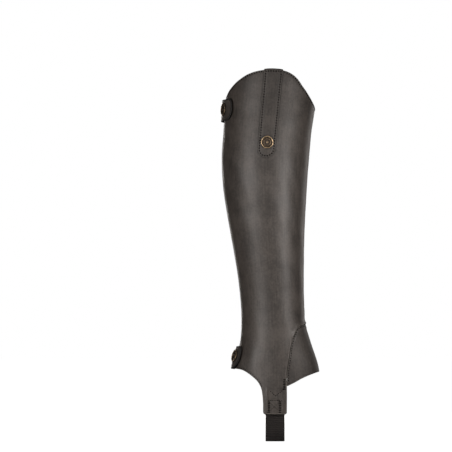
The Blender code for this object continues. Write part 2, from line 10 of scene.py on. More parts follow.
# %% Open the frame
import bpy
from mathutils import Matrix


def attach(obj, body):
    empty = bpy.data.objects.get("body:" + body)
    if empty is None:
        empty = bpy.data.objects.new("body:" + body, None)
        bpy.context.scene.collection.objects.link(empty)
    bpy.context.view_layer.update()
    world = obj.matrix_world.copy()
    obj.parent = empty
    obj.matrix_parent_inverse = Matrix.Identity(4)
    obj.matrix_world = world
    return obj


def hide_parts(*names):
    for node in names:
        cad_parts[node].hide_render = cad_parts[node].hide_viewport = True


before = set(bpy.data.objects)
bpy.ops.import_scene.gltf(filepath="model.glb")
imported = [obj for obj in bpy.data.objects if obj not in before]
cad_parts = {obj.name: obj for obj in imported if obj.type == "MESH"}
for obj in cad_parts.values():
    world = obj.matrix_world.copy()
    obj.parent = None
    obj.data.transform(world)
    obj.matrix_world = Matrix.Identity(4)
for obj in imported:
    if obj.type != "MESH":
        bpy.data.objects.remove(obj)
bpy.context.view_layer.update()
print("solids in the frame:", len(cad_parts))

# %% [markdown]
# ## The tools
#
# Points could be worked out one at a time, but numpy does whole rows of them at once. Blender
# counts in metres and a leather worker in millimetres, so all sizes below are millimetres, and
# they become metres only when a mesh is made.

# %% Tools and units
from collections import namedtuple
from math import ceil, cos, pi, radians, sin

import bpy
import numpy as np
from mathutils import Vector
from mathutils.geometry import delaunay_2d_cdt

MM = 0.001
FULL_TURN = 360.0
SHIN_ANGLE = 180.0

# %% [markdown]
# ## The form of the leg
#
# The chap stands as if a leg filled it. A maker shapes it on a last. A sculpted leg could be the
# last here, but a short table is easier to measure and to mend: at each level, how far the
# leather reaches back, forward and to the sides.

# %% Leg sections
LegSection = namedtuple("LegSection", "level back front half_width widest_x")
SECTIONS = [LegSection(*row) for row in (
    (124, -54, 78.8, 52, 8),
    (65, -58.6, 71.4, 53.2, 4),
    (32, -60.6, 66.2, 54.1, 1.8),
    (0, -62.8, 63.3, 54.7, 0),
    (-47.6, -60.8, 59.7, 53.5, 0),
    (-90.9, -54.3, 57.3, 50.5, 2),
    (-134.2, -46.5, 55.7, 46.5, 4.5),
    (-177.5, -39.4, 55.4, 42.5, 8),
    (-220.8, -35.1, 56, 40.3, 11),
    (-238.1, -34.5, 57.3, 40, 11.5),
    (-264.1, -35.6, 63.8, 40.2, 12.5),
    (-307.4, -45.8, 77.5, 41, 13.5),
    (-343, -46.5, 81.5, 41, 13.5),
    (-373.7, -46.5, 81.5, 40, 13.5),
)]
print("leg sections:", len(SECTIONS))

# %% [markdown]
# ## Places on the leg
#
# A smooth curve through the table's rows gives every level between them. A place on the leg is
# an angle, 0 at the zip and rising round the outer side, and a level. A lift is the height
# above the smooth leather. So each piece can be drawn flat and then laid on the leg.

# %% The skin of the leg
def smooth_curve(xs, rows):
    """A reader of the smooth curve through the rows. xs rises; rows has a column per value."""
    xs = np.asarray(xs, float)
    rows = np.asarray(rows, float).reshape(len(xs), -1)
    slopes = np.gradient(rows, xs, axis=0)

    def read(x):
        x = np.atleast_1d(np.asarray(x, float))
        i = np.clip(np.searchsorted(xs, x) - 1, 0, len(xs) - 2)
        width = (xs[i + 1] - xs[i])[:, None]
        t = (x - xs[i])[:, None] / width
        return (rows[i] * (1 + 2 * t) * (1 - t) ** 2 + rows[i + 1] * t * t * (3 - 2 * t)
                + width * (slopes[i] * t * (1 - t) ** 2 + slopes[i + 1] * t * t * (t - 1)))
    return read


UPWARD_SECTIONS = np.array(SECTIONS)[::-1]
read_section = smooth_curve(UPWARD_SECTIONS[:, 0], UPWARD_SECTIONS[:, 1:])


def skin(angles, levels):
    """Points of the smooth leather surface, one row each."""
    angles, levels = np.broadcast_arrays(np.atleast_1d(angles), np.atleast_1d(levels))
    back, front, half_width, widest_x = read_section(levels).T
    turn = np.radians(angles)
    reach = np.where(np.cos(turn) > 0, widest_x - back, front - widest_x)
    return np.column_stack((widest_x - reach * np.cos(turn), -half_width * np.sin(turn), levels))


def skin_normals(angles, levels, step=0.5):
    """The way out of the leather at each place, from two short steps across it."""
    around = skin(angles + step, levels) - skin(angles - step, levels)
    up = skin(angles, levels + step) - skin(angles, levels - step)
    normals = np.cross(around, up)
    return normals / np.linalg.norm(normals, axis=1)[:, None]


def lifted(angles, levels, lifts):
    """Points this far above the smooth leather, one row each."""
    angles, levels, lifts = np.broadcast_arrays(*(np.atleast_1d(v) for v in (angles, levels, lifts)))
    return skin(angles, levels) + lifts[:, None] * skin_normals(angles, levels)


calf = skin(np.arange(0.0, FULL_TURN + 1.0), 0.0)
print("round the calf:", round(float(np.linalg.norm(np.diff(calf, axis=0), axis=1).sum())), "mm")

# %% [markdown]
# ## The cutting pattern
#
# A maker cuts leather flat. The pattern here is flat too: the angle round the leg, stretched
# to millimetres, is the width, and the level is the height. Each outline is a few rows of
# angle and level with a smooth curve through them, so a curved hem needs no long list.

# %% Top edge and suede seam
TOP_EDGE = (
    (0, 79), (9, 83.5), (19, 91), (31, 99.6), (44, 108.2), (60, 116.9),
    (72, 120.6), (85, 122.4), (95, 122.4), (106, 120.8), (115.2, 116.6),
    (125, 108.2), (132.2, 99.6), (140.8, 90.9), (150, 82.3), (161.8, 73.6),
    (175, 67.8), (190, 65), (206, 62.6), (222, 62), (242, 65),
    (264, 69.6), (285, 73.6), (316, 77), (360, 79),
)
SUEDE_SEAM = (
    (222, 62), (223, 0), (223.5, -50), (225, -97), (228.5, -132),
    (234, -161), (240.5, -181), (250, -200), (263, -219), (278.5, -239),
    (294, -256.5), (309, -269), (324, -278), (340, -284), (360, -287.5),
)
SEAM_TOP_ANGLE = SUEDE_SEAM[0][0]
TOP_PEAK = max(level for angle, level in TOP_EDGE)
OUTER_TOP_EDGE = [row for row in TOP_EDGE if row[0] <= SEAM_TOP_ANGLE]
INNER_TOP_EDGE = [row for row in TOP_EDGE if row[0] >= SEAM_TOP_ANGLE]
print("the top edge is highest at", TOP_PEAK, "mm")

# %% [markdown]
# ## The outlines at the foot
#
# Two seams run up to a point over the instep, where the gusset is let in. The hem rises in
# front and drops at the sides into two tongues for the elastic. The lining ends a little
# higher than the leather, so that its raw hem is hidden.

# %% Gusset seams, hems and tongues
GUSSET_OUTER_SEAM = (
    (105, -333.3), (105.7, -310), (110.8, -290.3), (116.4, -274.3), (124.1, -260.9),
    (129.4, -255), (137, -249), (158, -244.8), (180, -243.3),
)
GUSSET_INNER_SEAM = (
    (180, -243.3), (203, -248.5), (219, -256), (227, -265), (233, -277),
    (239.5, -290), (248, -306), (254, -320), (255, -333.3),
)
FRONT_HEM = (
    (105, -333.3), (116, -327.6), (125.5, -322.4), (137.3, -318.1), (152.6, -314.5), (180, -312),
)
BACK_HEM = (
    (0, -308.4), (18, -308.2), (42, -311.3), (54.8, -317.8), (65.6, -327),
    (69.9, -334.6), (72.3, -345.6), (73.5, -359),
)
LINING_HEM = (
    (0, -299), (30, -300), (50, -305), (67, -316), (79, -325),
    (90, -328), (100, -324), (116, -315), (137, -308), (180, -303),
)
TONGUE_END = -373.7
TONGUE_FRONT_ANGLE = 104.8
TONGUE_CORNER = 2.0
print("the tongues are", round(TONGUE_FRONT_ANGLE - BACK_HEM[-1][0], 1), "degrees wide")

# %% [markdown]
# ## Lines on the pattern
#
# A maker walks along an edge with dividers, and gets points at even steps or a second line at
# an even distance. These helpers do the same on the flat pattern. Each returns plain rows of
# points, so that one line can be an edge, a groove or a row of stitches.

# %% Lines on the pattern
FLAT_MM_PER_DEGREE = 0.95
PATTERN = np.array((FLAT_MM_PER_DEGREE, 1.0))
GRAIN = 2.4
CORNER_CLEAR = 1.2


def run_lengths(points):
    """How far along the chain of points each one lies."""
    steps = np.linalg.norm(np.diff(np.asarray(points, float), axis=0), axis=1)
    return np.concatenate(([0.0], np.cumsum(steps)))


def smooth_line(rows, step=GRAIN):
    """Flat points about a step apart on the smooth curve through rows of (angle, level)."""
    points = np.array(rows) * PATTERN
    lengths = run_lengths(points)
    count = max(1, ceil(lengths[-1] / step))
    return smooth_curve(lengths, points)(np.linspace(0.0, lengths[-1], count + 1))


def level_on(rows, angles):
    """The levels of an outline at these angles."""
    table = np.array(rows)
    return smooth_curve(table[:, 0], table[:, 1])(angles)[:, 0]


def ways_beside(line):
    """For each point of a flat line, the unit way to its right."""
    ways = np.gradient(line, axis=0)
    return np.column_stack((ways[:, 1], -ways[:, 0])) / np.hypot(*ways.T)[:, None]


def beside(line, distance):
    """The flat line moved to its right, which is below it where it runs round the leg."""
    return line + distance * ways_beside(line)


def between(line, first, last, clear=CORNER_CLEAR):
    """The points of a flat line between two angles, clear of both."""
    angles = line[:, 0] / FLAT_MM_PER_DEGREE
    return line[(angles > first + clear) & (angles < last - clear)]


def cut_at(line, first, last):
    """The stretch of a flat line between two angles, with both ends."""
    across = np.array((first, last)) * FLAT_MM_PER_DEGREE
    ends = np.column_stack((across, np.interp(across, line[:, 0], line[:, 1])))
    return np.vstack((ends[:1], between(line, first, last), ends[1:]))


def other_side(line):
    """The flat line mirrored to the other side of the leg, in the same order."""
    return np.column_stack((FULL_TURN * FLAT_MM_PER_DEGREE - line[:, 0], line[:, 1]))


print("top edge points:", len(smooth_line(TOP_EDGE)))

# %% [markdown]
# ## Lines beside the zip
#
# The zip's slot and the stitches along it keep the same distance in millimetres from the top
# to the heel, while the leg gets thinner. So their angle can't stay the same. It is looked up
# at each level, along the real curve of the leather.

# %% Lines beside the zip
ZIP_HALF_SLOT = 5.0
HALF_ROUND_ANGLES = np.arange(0.0, 91.0, 2.0)


def angle_across(across, levels):
    """The angles that lie this many millimetres round the back from the zip."""
    found = []
    for distance, level in zip(*np.broadcast_arrays(np.atleast_1d(across), np.atleast_1d(levels))):
        rim = skin(HALF_ROUND_ANGLES, level)[:, :2]
        angle = np.interp(abs(distance), run_lengths(rim), HALF_ROUND_ANGLES)
        found.append(np.copysign(angle, distance))
    return np.array(found)


def zip_edge(bottom, top, across=ZIP_HALF_SLOT):
    """A flat line beside the zip on the outer side, upwards."""
    levels = np.linspace(bottom, top, ceil((top - bottom) / GRAIN) + 1)
    return np.column_stack((angle_across(across, levels), levels)) * PATTERN


def slot_level(rows, side):
    """The level at which an outline meets the zip's slot, side 1 outer or -1 inner."""
    middle = 0.0 if side > 0 else FULL_TURN
    corner = angle_across(ZIP_HALF_SLOT, level_on(rows, middle))
    return float(level_on(rows, middle + side * corner)[0])


print("the top edge meets the slot at", round(slot_level(TOP_EDGE, 1), 1), "mm")

# %% [markdown]
# ## Relief
#
# Worn leather swells softly where the leg pushed and folds a little where the ankle bends. A
# cloth simulation could make such folds, but not where they are wanted, so they are listed one
# by one: where, which way they run, how long, how wide and how deep. All of it is a lift that is
# read from the flat pattern, so that a seam's two sides agree.

# %% Swells and creases
Crease = namedtuple("Crease", "angle level tilt length width lift")
CREASES = [Crease(*row) for row in (
    (131, -251, 18, 7, 1.9, -0.34),
    (128, -257.5, 22, 8, 2, 0.28),
    (125, -263.5, 30, 9, 2.1, -0.28),
    (137, -245, 10, 9, 2.2, 0.24),
    (229, -258, -18, 7, 1.9, -0.30),
    (233, -265.5, -24, 8, 2.2, 0.26),
    (180, -236, 0, 26, 4.5, -0.30),
    (180, -226, 0, 22, 4.5, 0.22),
    (318, -302, 88, 20, 6, 0.45),
    (302, -300, 86, 26, 5.5, -0.38),
    (285, -303, 80, 26, 7, 0.34),
    (262, -290, 84, 34, 8, -0.26),
    (58, -290, 82, 28, 8, 0.26),
    (42, -282, 88, 28, 6, -0.24),
    (78, -300, 78, 26, 7, -0.20),
    (30, 40, 84, 34, 6, -0.22),
    (46, 60, 80, 26, 6, 0.20),
)]
SWELL_WAVES = 7
SWELL_MM = 0.055
SWELL_LONGEST = 74.0
SWELL_SHORTEST = 22.0
luck = np.random.default_rng(11)
SWELLS = [(2 * pi / luck.uniform(SWELL_SHORTEST, SWELL_LONGEST), luck.uniform(0, pi),
           luck.uniform(0, 2 * pi)) for _ in range(SWELL_WAVES)]


def softness(points):
    """The lift of swells and creases at flat points."""
    lift = np.zeros(len(points))
    for number, way, start in SWELLS:
        lift += SWELL_MM * np.sin(number * (points[:, 0] * cos(way) + points[:, 1] * sin(way)) + start)
    for crease in CREASES:
        away = points - np.array((crease.angle, crease.level)) * PATTERN
        tilt = radians(crease.tilt)
        along = away @ (cos(tilt), sin(tilt))
        off = away @ (-sin(tilt), cos(tilt))
        lift += crease.lift * np.exp(-(along / crease.length) ** 2 - (off / crease.width) ** 2)
    return lift


probe = smooth_line(((120.0, -270.0), (140.0, -240.0)))
print("softness from", softness(probe).min().round(2), "to", softness(probe).max().round(2), "mm")

# %% [markdown]
# ## Grooves and ridges
#
# Leather sinks under each row of sewing and stands up where it is pressed over a seam. Both are
# a line on the pattern and a lift that fades away from it. A press says how high and how wide
# one kind of fold is.

# %% Grooves and ridges along lines
def distance_to(points, line, closed=False, block=1500):
    """How far each flat point lies from a line."""
    line = np.asarray(line, float)
    starts = line if closed else line[:-1]
    sides = (np.roll(line, -1, axis=0) if closed else line[1:]) - starts
    squares = (sides ** 2).sum(axis=1)
    found = []
    for first in range(0, len(points), block):
        away = points[first:first + block, None, :] - starts
        along = np.clip((away * sides).sum(axis=2) / squares, 0.0, 1.0)
        found.append(np.sqrt(((away - along[..., None] * sides) ** 2).sum(axis=2).min(axis=1)))
    return np.concatenate(found) if found else np.zeros(0)


Fold = namedtuple("Fold", "line lift width")
Press = namedtuple("Press", "lift width")
STITCH_GROOVE = Press(-0.24, 0.75)


def pressed(lines, press):
    """The same groove or ridge along each of these lines."""
    return [Fold(line, *press) for line in lines]


def folded(points, folds):
    """The lift of sewn grooves (below 0) and pressed ridges (above 0) along lines."""
    lift = np.zeros(len(points))
    for fold in folds:
        lift += fold.lift * np.exp(-(distance_to(points, fold.line) / fold.width) ** 2)
    return lift


print("under a stitch:", folded(probe[:1], pressed([probe], STITCH_GROOVE)).round(2), "mm")

# %% [markdown]
# ## Cutting a panel
#
# Every leather and cloth piece is a flat shape with a thickness, bent round the leg. First its
# outline is walked in even steps. Then it is moved inwards, a little for a seam's gap and again
# for each row of its rounded rim. Beside a sharp corner points would cross when they move in,
# so they are left out there.

# %% The edge of a flat shape
SHORTEST_SIDE = 0.2
CORNER_TURN = 0.5
CORNER_ROOM = 0.3
SHARPEST = 2.4
MITRE_LEAST = 0.26


def signed_area(loop):
    """The area of a closed flat loop, below 0 where it runs clockwise."""
    after = np.roll(loop, -1, axis=0)
    return 0.5 * float((loop[:, 0] * after[:, 1] - after[:, 0] * loop[:, 1]).sum())


def anticlockwise(loop):
    loop = np.asarray(loop, float)
    return loop if signed_area(loop) > 0 else loop[::-1]


def evened(loop, step, inset):
    """The closed anticlockwise loop in even steps, its corners clear for an inset this wide."""
    loop = loop[np.linalg.norm(loop - np.roll(loop, 1, axis=0), axis=1) > SHORTEST_SIDE * step]
    before, after = loop - np.roll(loop, 1, axis=0), np.roll(loop, -1, axis=0) - loop
    turns = np.arctan2(before[:, 0] * after[:, 1] - before[:, 1] * after[:, 0],
                       (before * after).sum(axis=1))
    sharp = np.abs(turns) > CORNER_TURN
    room = CORNER_ROOM * step + inset * np.tan(np.clip(turns, 0.0, SHARPEST) / 2)
    points = []
    for i, here in enumerate(loop):
        side = loop[(i + 1) % len(loop)] - here
        count = max(1, round(float(np.linalg.norm(side)) / step))
        for k in range(count):
            spot = here + side * k / count
            clear = np.linalg.norm(loop[sharp] - spot, axis=1) > room[sharp]
            if (k == 0 and sharp[i]) or clear.all():
                points.append(spot)
    return np.array(points)


def moved_in(loop, gap):
    """The closed loop, which runs anticlockwise, with every side moved inwards."""
    before, after = loop - np.roll(loop, 1, axis=0), np.roll(loop, -1, axis=0) - loop
    normals = [np.column_stack((-d[:, 1], d[:, 0])) / np.hypot(*d.T)[:, None]
               for d in (before, after)]
    middle = normals[0] + normals[1]
    middle /= np.maximum(MITRE_LEAST, (middle * normals[0]).sum(axis=1))[:, None]
    return loop + gap * middle


square = np.array(((0.0, 0.0), (10.0, 0.0), (10.0, 10.0), (0.0, 10.0)))
print("a 10 mm square moved in by 1 mm:", signed_area(moved_in(square, 1.0)), "mm2")

# %% [markdown]
# ## Filling the shape
#
# A grid can't follow a curved hem. A triangulation can, and it can be told about the sewing
# lines, where the surface bends sharply. Points are laid in rows along those guide lines first,
# then in a staggered lattice everywhere else.

# %% Points inside the shape
GUIDE_OFFSETS = (-1.1, 0.0, 1.1)
GUIDE_CLEAR = 0.28
LATTICE_CLEAR = 0.62


def within(points, loop, block=1500):
    """Which flat points lie inside the closed loop."""
    after = np.roll(loop, -1, axis=0)
    rise = np.where(after[:, 1] == loop[:, 1], 1.0, after[:, 1] - loop[:, 1])
    found = []
    for first in range(0, len(points), block):
        part = points[first:first + block]
        crossed = (loop[:, 1] > part[:, 1, None]) != (after[:, 1] > part[:, 1, None])
        x = loop[:, 0] + (part[:, 1, None] - loop[:, 1]) / rise * (after[:, 0] - loop[:, 0])
        found.append((crossed & (x > part[:, 0, None])).sum(axis=1) % 2 == 1)
    return np.concatenate(found)


def staggered(loop, step):
    """A staggered lattice over the loop's box."""
    low, high = loop.min(axis=0), loop.max(axis=0)
    rows = []
    for j, level in enumerate(np.arange(low[1], high[1], step * sin(pi / 3))):
        across = np.arange(low[0] + 0.5 * step * (j % 2), high[0], step)
        rows.append(np.column_stack((across, np.full(len(across), level))))
    return np.vstack(rows)


def kept_apart(taken, candidates, clear):
    """The candidates that lie clear of the points taken and of each other."""
    cells = {}

    def cell_of(point):
        return int(point[0] // clear), int(point[1] // clear)
    for point in taken:
        cells.setdefault(cell_of(point), []).append(point)
    kept = []
    for point in candidates:
        i, j = cell_of(point)
        near = (p for a in (-1, 0, 1) for b in (-1, 0, 1) for p in cells.get((i + a, j + b), ()))
        if all((p[0] - point[0]) ** 2 + (p[1] - point[1]) ** 2 > clear ** 2 for p in near):
            cells.setdefault((i, j), []).append(point)
            kept.append(point)
    return np.array(kept).reshape(-1, 2)


def evened_line(line, step):
    """An open flat line with points about a step apart."""
    lengths = run_lengths(line)
    places = np.linspace(0.0, lengths[-1], max(2, ceil(lengths[-1] / step) + 1))
    return np.column_stack([np.interp(places, lengths, line[:, i]) for i in (0, 1)])


def filled(loop, step, guides):
    """Flat points inside the loop: rows beside the guide lines, then a lattice."""
    rows = [evened_line(line, step) for line in guides]
    rows = [line + offset * ways_beside(line) for line in rows for offset in GUIDE_OFFSETS]
    points = np.zeros((0, 2))
    for candidates, clear in ((np.vstack(rows) if rows else points, GUIDE_CLEAR * step),
                              (staggered(loop, step), LATTICE_CLEAR * step)):
        if len(candidates):
            good = within(candidates, loop) & (distance_to(candidates, loop, True) > clear)
            taken = np.vstack((loop, points))
            points = np.vstack((points, kept_apart(taken, candidates[good], clear)))
    return points


print("points that fill the square at 2 mm:", len(filled(square, 2.0, [])))

# %% [markdown]
# ## A mesh that keeps values
#
# A finish needs to know how far from the edge it is, how deep in the leather, and how near a
# row of stitches. That could be painted by hand. Here each point keeps it as attributes, and
# its place on the flat pattern becomes the UV map, so that a weave follows the cloth.

# %% A mesh from points and faces
UV_PER_MM = 0.01


def linked(name, data):
    """An object with this mesh, light or camera, put into the scene."""
    made = bpy.data.objects.new(name, data)
    bpy.context.collection.objects.link(made)
    return made


def mesh_object(name, points, faces, finish, **values):
    """A smooth object in metres whose faces point out, with values kept on its points."""
    points = np.asarray(points, float)
    corners = np.array([(f[0], f[i], f[i + 1]) for f in faces for i in range(1, len(f) - 1)])
    a, b, c = (points[corners[:, i]] for i in range(3))
    if (a * np.cross(b, c)).sum() < 0:
        faces = [tuple(reversed(face)) for face in faces]
    mesh = bpy.data.meshes.new(name)
    mesh.from_pydata((points * MM).tolist(), [], faces)
    mesh.materials.append(finish)
    for label, value in values.items():
        if label == "pattern":
            layer = mesh.uv_layers.new(name="UVMap")
            order = np.empty(len(mesh.loops), np.int32)
            mesh.loops.foreach_get("vertex_index", order)
            layer.data.foreach_set("uv", np.asarray(value, np.float32)[order].ravel())
        else:
            kept = mesh.attributes.new(label, "FLOAT", "POINT")
            kept.data.foreach_set("value", np.asarray(value, np.float32))
    mesh.shade_smooth()
    return linked(name, mesh)


print("a millimetre of cloth on the UV map:", UV_PER_MM)

# %% [markdown]
# ## A closed panel
#
# Solidify could give a flat sheet its thickness, but with square edges. Cut leather has rounded
# ones, so a few rows of points make the rim. The same triangles make the face and the back, and
# the rim joins them into one closed mesh.

# %% The rows of the rim
RIM_TURNS = np.radians((0.0, 34.0, 64.0, 90.0))
RIM_SUPPORT = 0.25
RIM_RADIUS = 0.55
RIM_MOST = 0.42
RIM_SHARE = 0.3
INSIDE_ONLY = 1
MERGE = 1e-6
RimRow = namedtuple("RimRow", "inset depth")


def rim_rows(thickness, step):
    """The rows round the edge, from the face over the rim to the back."""
    radius = min(RIM_RADIUS, RIM_MOST * thickness, RIM_SHARE * step)
    front = [RimRow(radius + RIM_SUPPORT * step, 0.0)]
    front += [RimRow(radius * (1 - sin(turn)), radius * (1 - cos(turn))) for turn in RIM_TURNS]
    return front + [RimRow(row.inset, thickness - row.depth) for row in front[::-1]]


def triangulated(name, rim, inner):
    """Flat points and triangles inside a rim, and where the rim's points are among them."""
    sides = [(i, (i + 1) % len(rim)) for i in range(len(rim))]
    flat, _, triangles, origins, *_ = delaunay_2d_cdt(
        [Vector(p) for p in np.vstack((rim, inner))], sides, [], INSIDE_ONLY, MERGE)
    if len(flat) != len(rim) + len(inner):
        raise ValueError(f"{name}: the outline crosses itself")
    place_of = {origin: i for i, found in enumerate(origins) for origin in found}
    flat = np.array([tuple(p) for p in flat])
    triangles = [t if signed_area(flat[list(t)]) > 0 else t[::-1] for t in triangles]
    return flat, triangles, [place_of[i] for i in range(len(rim))]


def closed_faces(triangles, face_rim, count, between_rows):
    """The faces of a panel: the face, the back, and the quads of the rim between them."""
    around = len(face_rim)
    back = count + between_rows * around
    faces = [tuple(t) for t in triangles]
    faces += [tuple(back + i for i in reversed(t)) for t in triangles]
    rings = [face_rim]
    rings += [list(range(count + k * around, count + (k + 1) * around)) for k in range(between_rows)]
    rings.append([back + i for i in face_rim])
    for upper, lower in zip(rings, rings[1:]):
        faces += [(upper[i], lower[i], lower[(i + 1) % around], upper[(i + 1) % around])
                  for i in range(around)]
    return faces


print("rows in the rim of 1.8 mm leather:", len(rim_rows(1.8, GRAIN)))

# %% [markdown]
# ## From outline to panel
#
# One function now cuts any piece from its outline, its thickness and a way to place it. The
# finish paints shade beside the seams. An edge that is turned in isn't painted, so its points say
# that they are further from the edge than they are, which gives it the lighter edge line, partly
# wear and partly a painted highlight.

# %% Cut a panel
FAR_FROM_SEAM = 9.0
TURNED_WIDTH = 1.5
WORN_AND_HIGHLIT_EDGE = 0.85
BACK_FADE = 0.5
CM2_PER_M2 = 1e4


def cut_panel(name, outline, place, thickness, finish, step=GRAIN, guides=(), seams=(), turned_in=(),
              grain_inside=False):
    """A closed piece cut to a flat outline. place(points, depths) bends it round the leg.

    The grain is outside unless it is said to lie inside.
    """
    first, *rim, _ = rim_rows(thickness, step)
    loop = evened(anticlockwise(outline), step, first.inset)
    start = moved_in(loop, first.inset)
    flat, triangles, face_rim = triangulated(name, start, filled(start, step, guides))
    faces = closed_faces(triangles, face_rim, len(flat), len(rim))
    points = np.vstack([flat, *(moved_in(loop, row.inset) for row in rim), flat])
    sizes = [len(flat)] + [len(loop)] * len(rim) + [len(flat)]
    depths = np.repeat([0.0] + [row.depth for row in rim] + [thickness], sizes)
    far = distance_to(flat, start, True) + first.inset
    edge = np.concatenate([far, np.repeat([row.inset for row in rim], len(loop)), far])
    # A turned-in edge gets no edge paint but the lighter edge line, partly wear and partly a painted
    # highlight.
    for line in turned_in:
        edge = np.where(distance_to(points, line) < TURNED_WIDTH, np.maximum(edge, WORN_AND_HIGHLIT_EDGE), edge)
    seam = np.full(len(points), FAR_FROM_SEAM)
    for line in seams:
        seam = np.minimum(seam, distance_to(points, line))
    shares = depths / thickness
    made = mesh_object(name, place(points, depths), faces, finish, pattern=points * UV_PER_MM,
                       edge=edge, depth=1 - shares if grain_inside else shares, seam=seam)
    face_area = sum(made.data.polygons[i].area for i in range(len(triangles)))
    print(f"{name}: {len(faces)} faces, {face_area * CM2_PER_M2:.1f} cm2")
    return made


def on_leg(lift, thickness, folds=(), soft=1.0):
    """A way to place flat points on the leg, this lift above the smooth leather."""
    def place(points, depths):
        relief = soft * softness(points) + folded(points, folds)
        relief = relief * (1 - BACK_FADE * np.clip(depths / thickness, 0.0, 1.0))
        return lifted(points[:, 0] / FLAT_MM_PER_DEGREE, points[:, 1], lift + relief - depths)
    return place


shin_spot = np.array(((SHIN_ANGLE, 0.0),)) * PATTERN
print("1 mm out of the shin lies", on_leg(0.0, 1.8)(shin_spot, -1.0).round(1))

# %% [markdown]
# ## Node trees
#
# A finish and a row of stitches are both node trees. They could be wired by hand in the editor.
# In code, one small helper adds a node, sets what it needs and wires its inputs, so that each
# tree below reads as a short recipe.

# %% A helper for nodes
def set_inputs(tree, node, inputs):
    """Inputs of a node, each by its name or place, as a value or another node's socket."""
    for key, value in inputs.items():
        if isinstance(value, bpy.types.NodeSocket):
            tree.links.new(value, node.inputs[key])
        else:
            node.inputs[key].default_value = value


def add_node(tree, kind, inputs=None, **settings):
    """A new node with these settings and inputs."""
    node = tree.nodes.new(kind)
    for key, value in settings.items():
        setattr(node, key, value)
    set_inputs(tree, node, inputs or {})
    return node


def blank_finish(name):
    """A new material, its node tree and its Principled shader."""
    finish = bpy.data.materials.new(name)
    finish.use_nodes = True
    print("a finish:", name)
    return finish, finish.node_tree, finish.node_tree.nodes["Principled BSDF"]


print("materials so far:", len(bpy.data.materials))

# %% [markdown]
# ## Where a pattern lies
#
# Grain and nap belong to the hide, so their noise reads the place on the piece. A weave or a
# streak follows the cloth round the leg, so it reads the flat pattern. Both are scaled to
# millimetres first, and then the size of a noise is the real size of its spots.

# %% Coordinates, noise and kept values
def in_millimetres(tree, stretch=(1.0, 1.0, 1.0)):
    """Object coordinates in millimetres, so that a noise's size is a real one."""
    where = add_node(tree, "ShaderNodeTexCoord").outputs["Object"]
    scale = tuple(s / MM for s in stretch)
    return add_node(tree, "ShaderNodeMapping", {"Vector": where, "Scale": scale}).outputs[0]


def on_pattern(tree, stretch=(1.0, 1.0, 1.0)):
    """The flat pattern's coordinates in millimetres, for what follows the cloth."""
    where = add_node(tree, "ShaderNodeUVMap", uv_map="UVMap").outputs[0]
    scale = tuple(s / UV_PER_MM for s in stretch)
    return add_node(tree, "ShaderNodeMapping", {"Vector": where, "Scale": scale}).outputs[0]


def noise(tree, where, size, detail=3.0, roughness=0.55):
    """A cloudy value from 0 to 1 whose spots are about this many millimetres across."""
    inputs = {"Vector": where, "Scale": 1.0 / size, "Detail": detail, "Roughness": roughness}
    return add_node(tree, "ShaderNodeTexNoise", inputs).outputs["Fac"]


def kept_value(tree, label):
    """A value that the mesh keeps on its points."""
    return add_node(tree, "ShaderNodeAttribute", attribute_name=label).outputs["Fac"]


def band(tree, value, low, high, start=0.0, end=1.0):
    """A value carried smoothly from start to end while it goes from low to high."""
    inputs = {"Value": value, "From Min": low, "From Max": high, "To Min": start, "To Max": end}
    return add_node(tree, "ShaderNodeMapRange", inputs, interpolation_type="SMOOTHSTEP").outputs[0]


print("scale for millimetres:", 1 / MM, "and on the UV map", 1 / UV_PER_MM)

# %% [markdown]
# ## Adding up and mixing
#
# A tone is several noises added up, each with its share. A colour goes from a dark to a light
# one with that tone. A bump does the same for the height, and one bump can lie on another.

# %% Sums, colours and bumps
def sums(tree, kind, first, second, clamp=False):
    """One sum of two values, such as ADD or MULTIPLY."""
    return add_node(tree, "ShaderNodeMath", {0: first, 1: second}, operation=kind,
                    use_clamp=clamp).outputs[0]


def weighted(tree, *values):
    """A tone from several values, each given with its share."""
    first, *others = (sums(tree, "MULTIPLY", value, share) for value, share in values)
    for other in others:
        first = sums(tree, "ADD", first, other)
    return first


def mixed(tree, share, first, second):
    """A colour between two, by a share from 0 to 1. The colour sockets are 6 and 7."""
    first, second = (colour if isinstance(colour, bpy.types.NodeSocket) else (*colour, 1.0)
                     for colour in (first, second))
    return add_node(tree, "ShaderNodeMix", {0: share, 6: first, 7: second},
                    data_type="RGBA").outputs[2]


def bumped(tree, height, depth_mm, strength=1.0, under=None):
    """A normal bent by a height whose full range is this many millimetres."""
    inputs = {"Height": height, "Distance": depth_mm * MM, "Strength": strength}
    if under:
        inputs["Normal"] = under
    return add_node(tree, "ShaderNodeBump", inputs).outputs[0]


print("0.1 mm as a bump's distance:", 0.1 * MM)

# %% [markdown]
# ## Leather
#
# The outer leather is a smooth, dark brown-black hide. A picture of hide could be wrapped round
# it, but nodes keep the right scale on every piece. Clouds of dye, streaks up the leg where the
# hide was stretched, and small specks make its tone. Its cut edges are painted nearly black, a
# line just inside them is painted lighter, partly as wear and partly as a painted highlight,
# painted shade darkens it beside its stitches, and its back is the rougher flesh side. The edge,
# depth and seam values of a panel say where each of these goes.

# %% The tone of the hide
LEATHER_DARK = (0.032, 0.0275, 0.0245)
LEATHER_LIGHT = (0.070, 0.060, 0.053)
# The edge line's colour: partly wear, partly a painted highlight.
LEATHER_WORN_AND_HIGHLIT = (0.105, 0.094, 0.083)
# Nearly black: the edge paint, and also the colour of the painted shade beside stitches and seams.
EDGE_PAINT_AND_SHADE = (0.0045, 0.004, 0.0035)
FLESH_SIDE = (0.060, 0.046, 0.036)
PAINT_FADE = 0.45
# Worn: how much the edge line is lightened, partly wear and partly a painted highlight. Pull: the painted
# shade beside stitches. Paint: the edge paint's width, which on the tabs is partly a painted shadow.
Leather = namedtuple("Leather", "shade roughness worn pull paint")


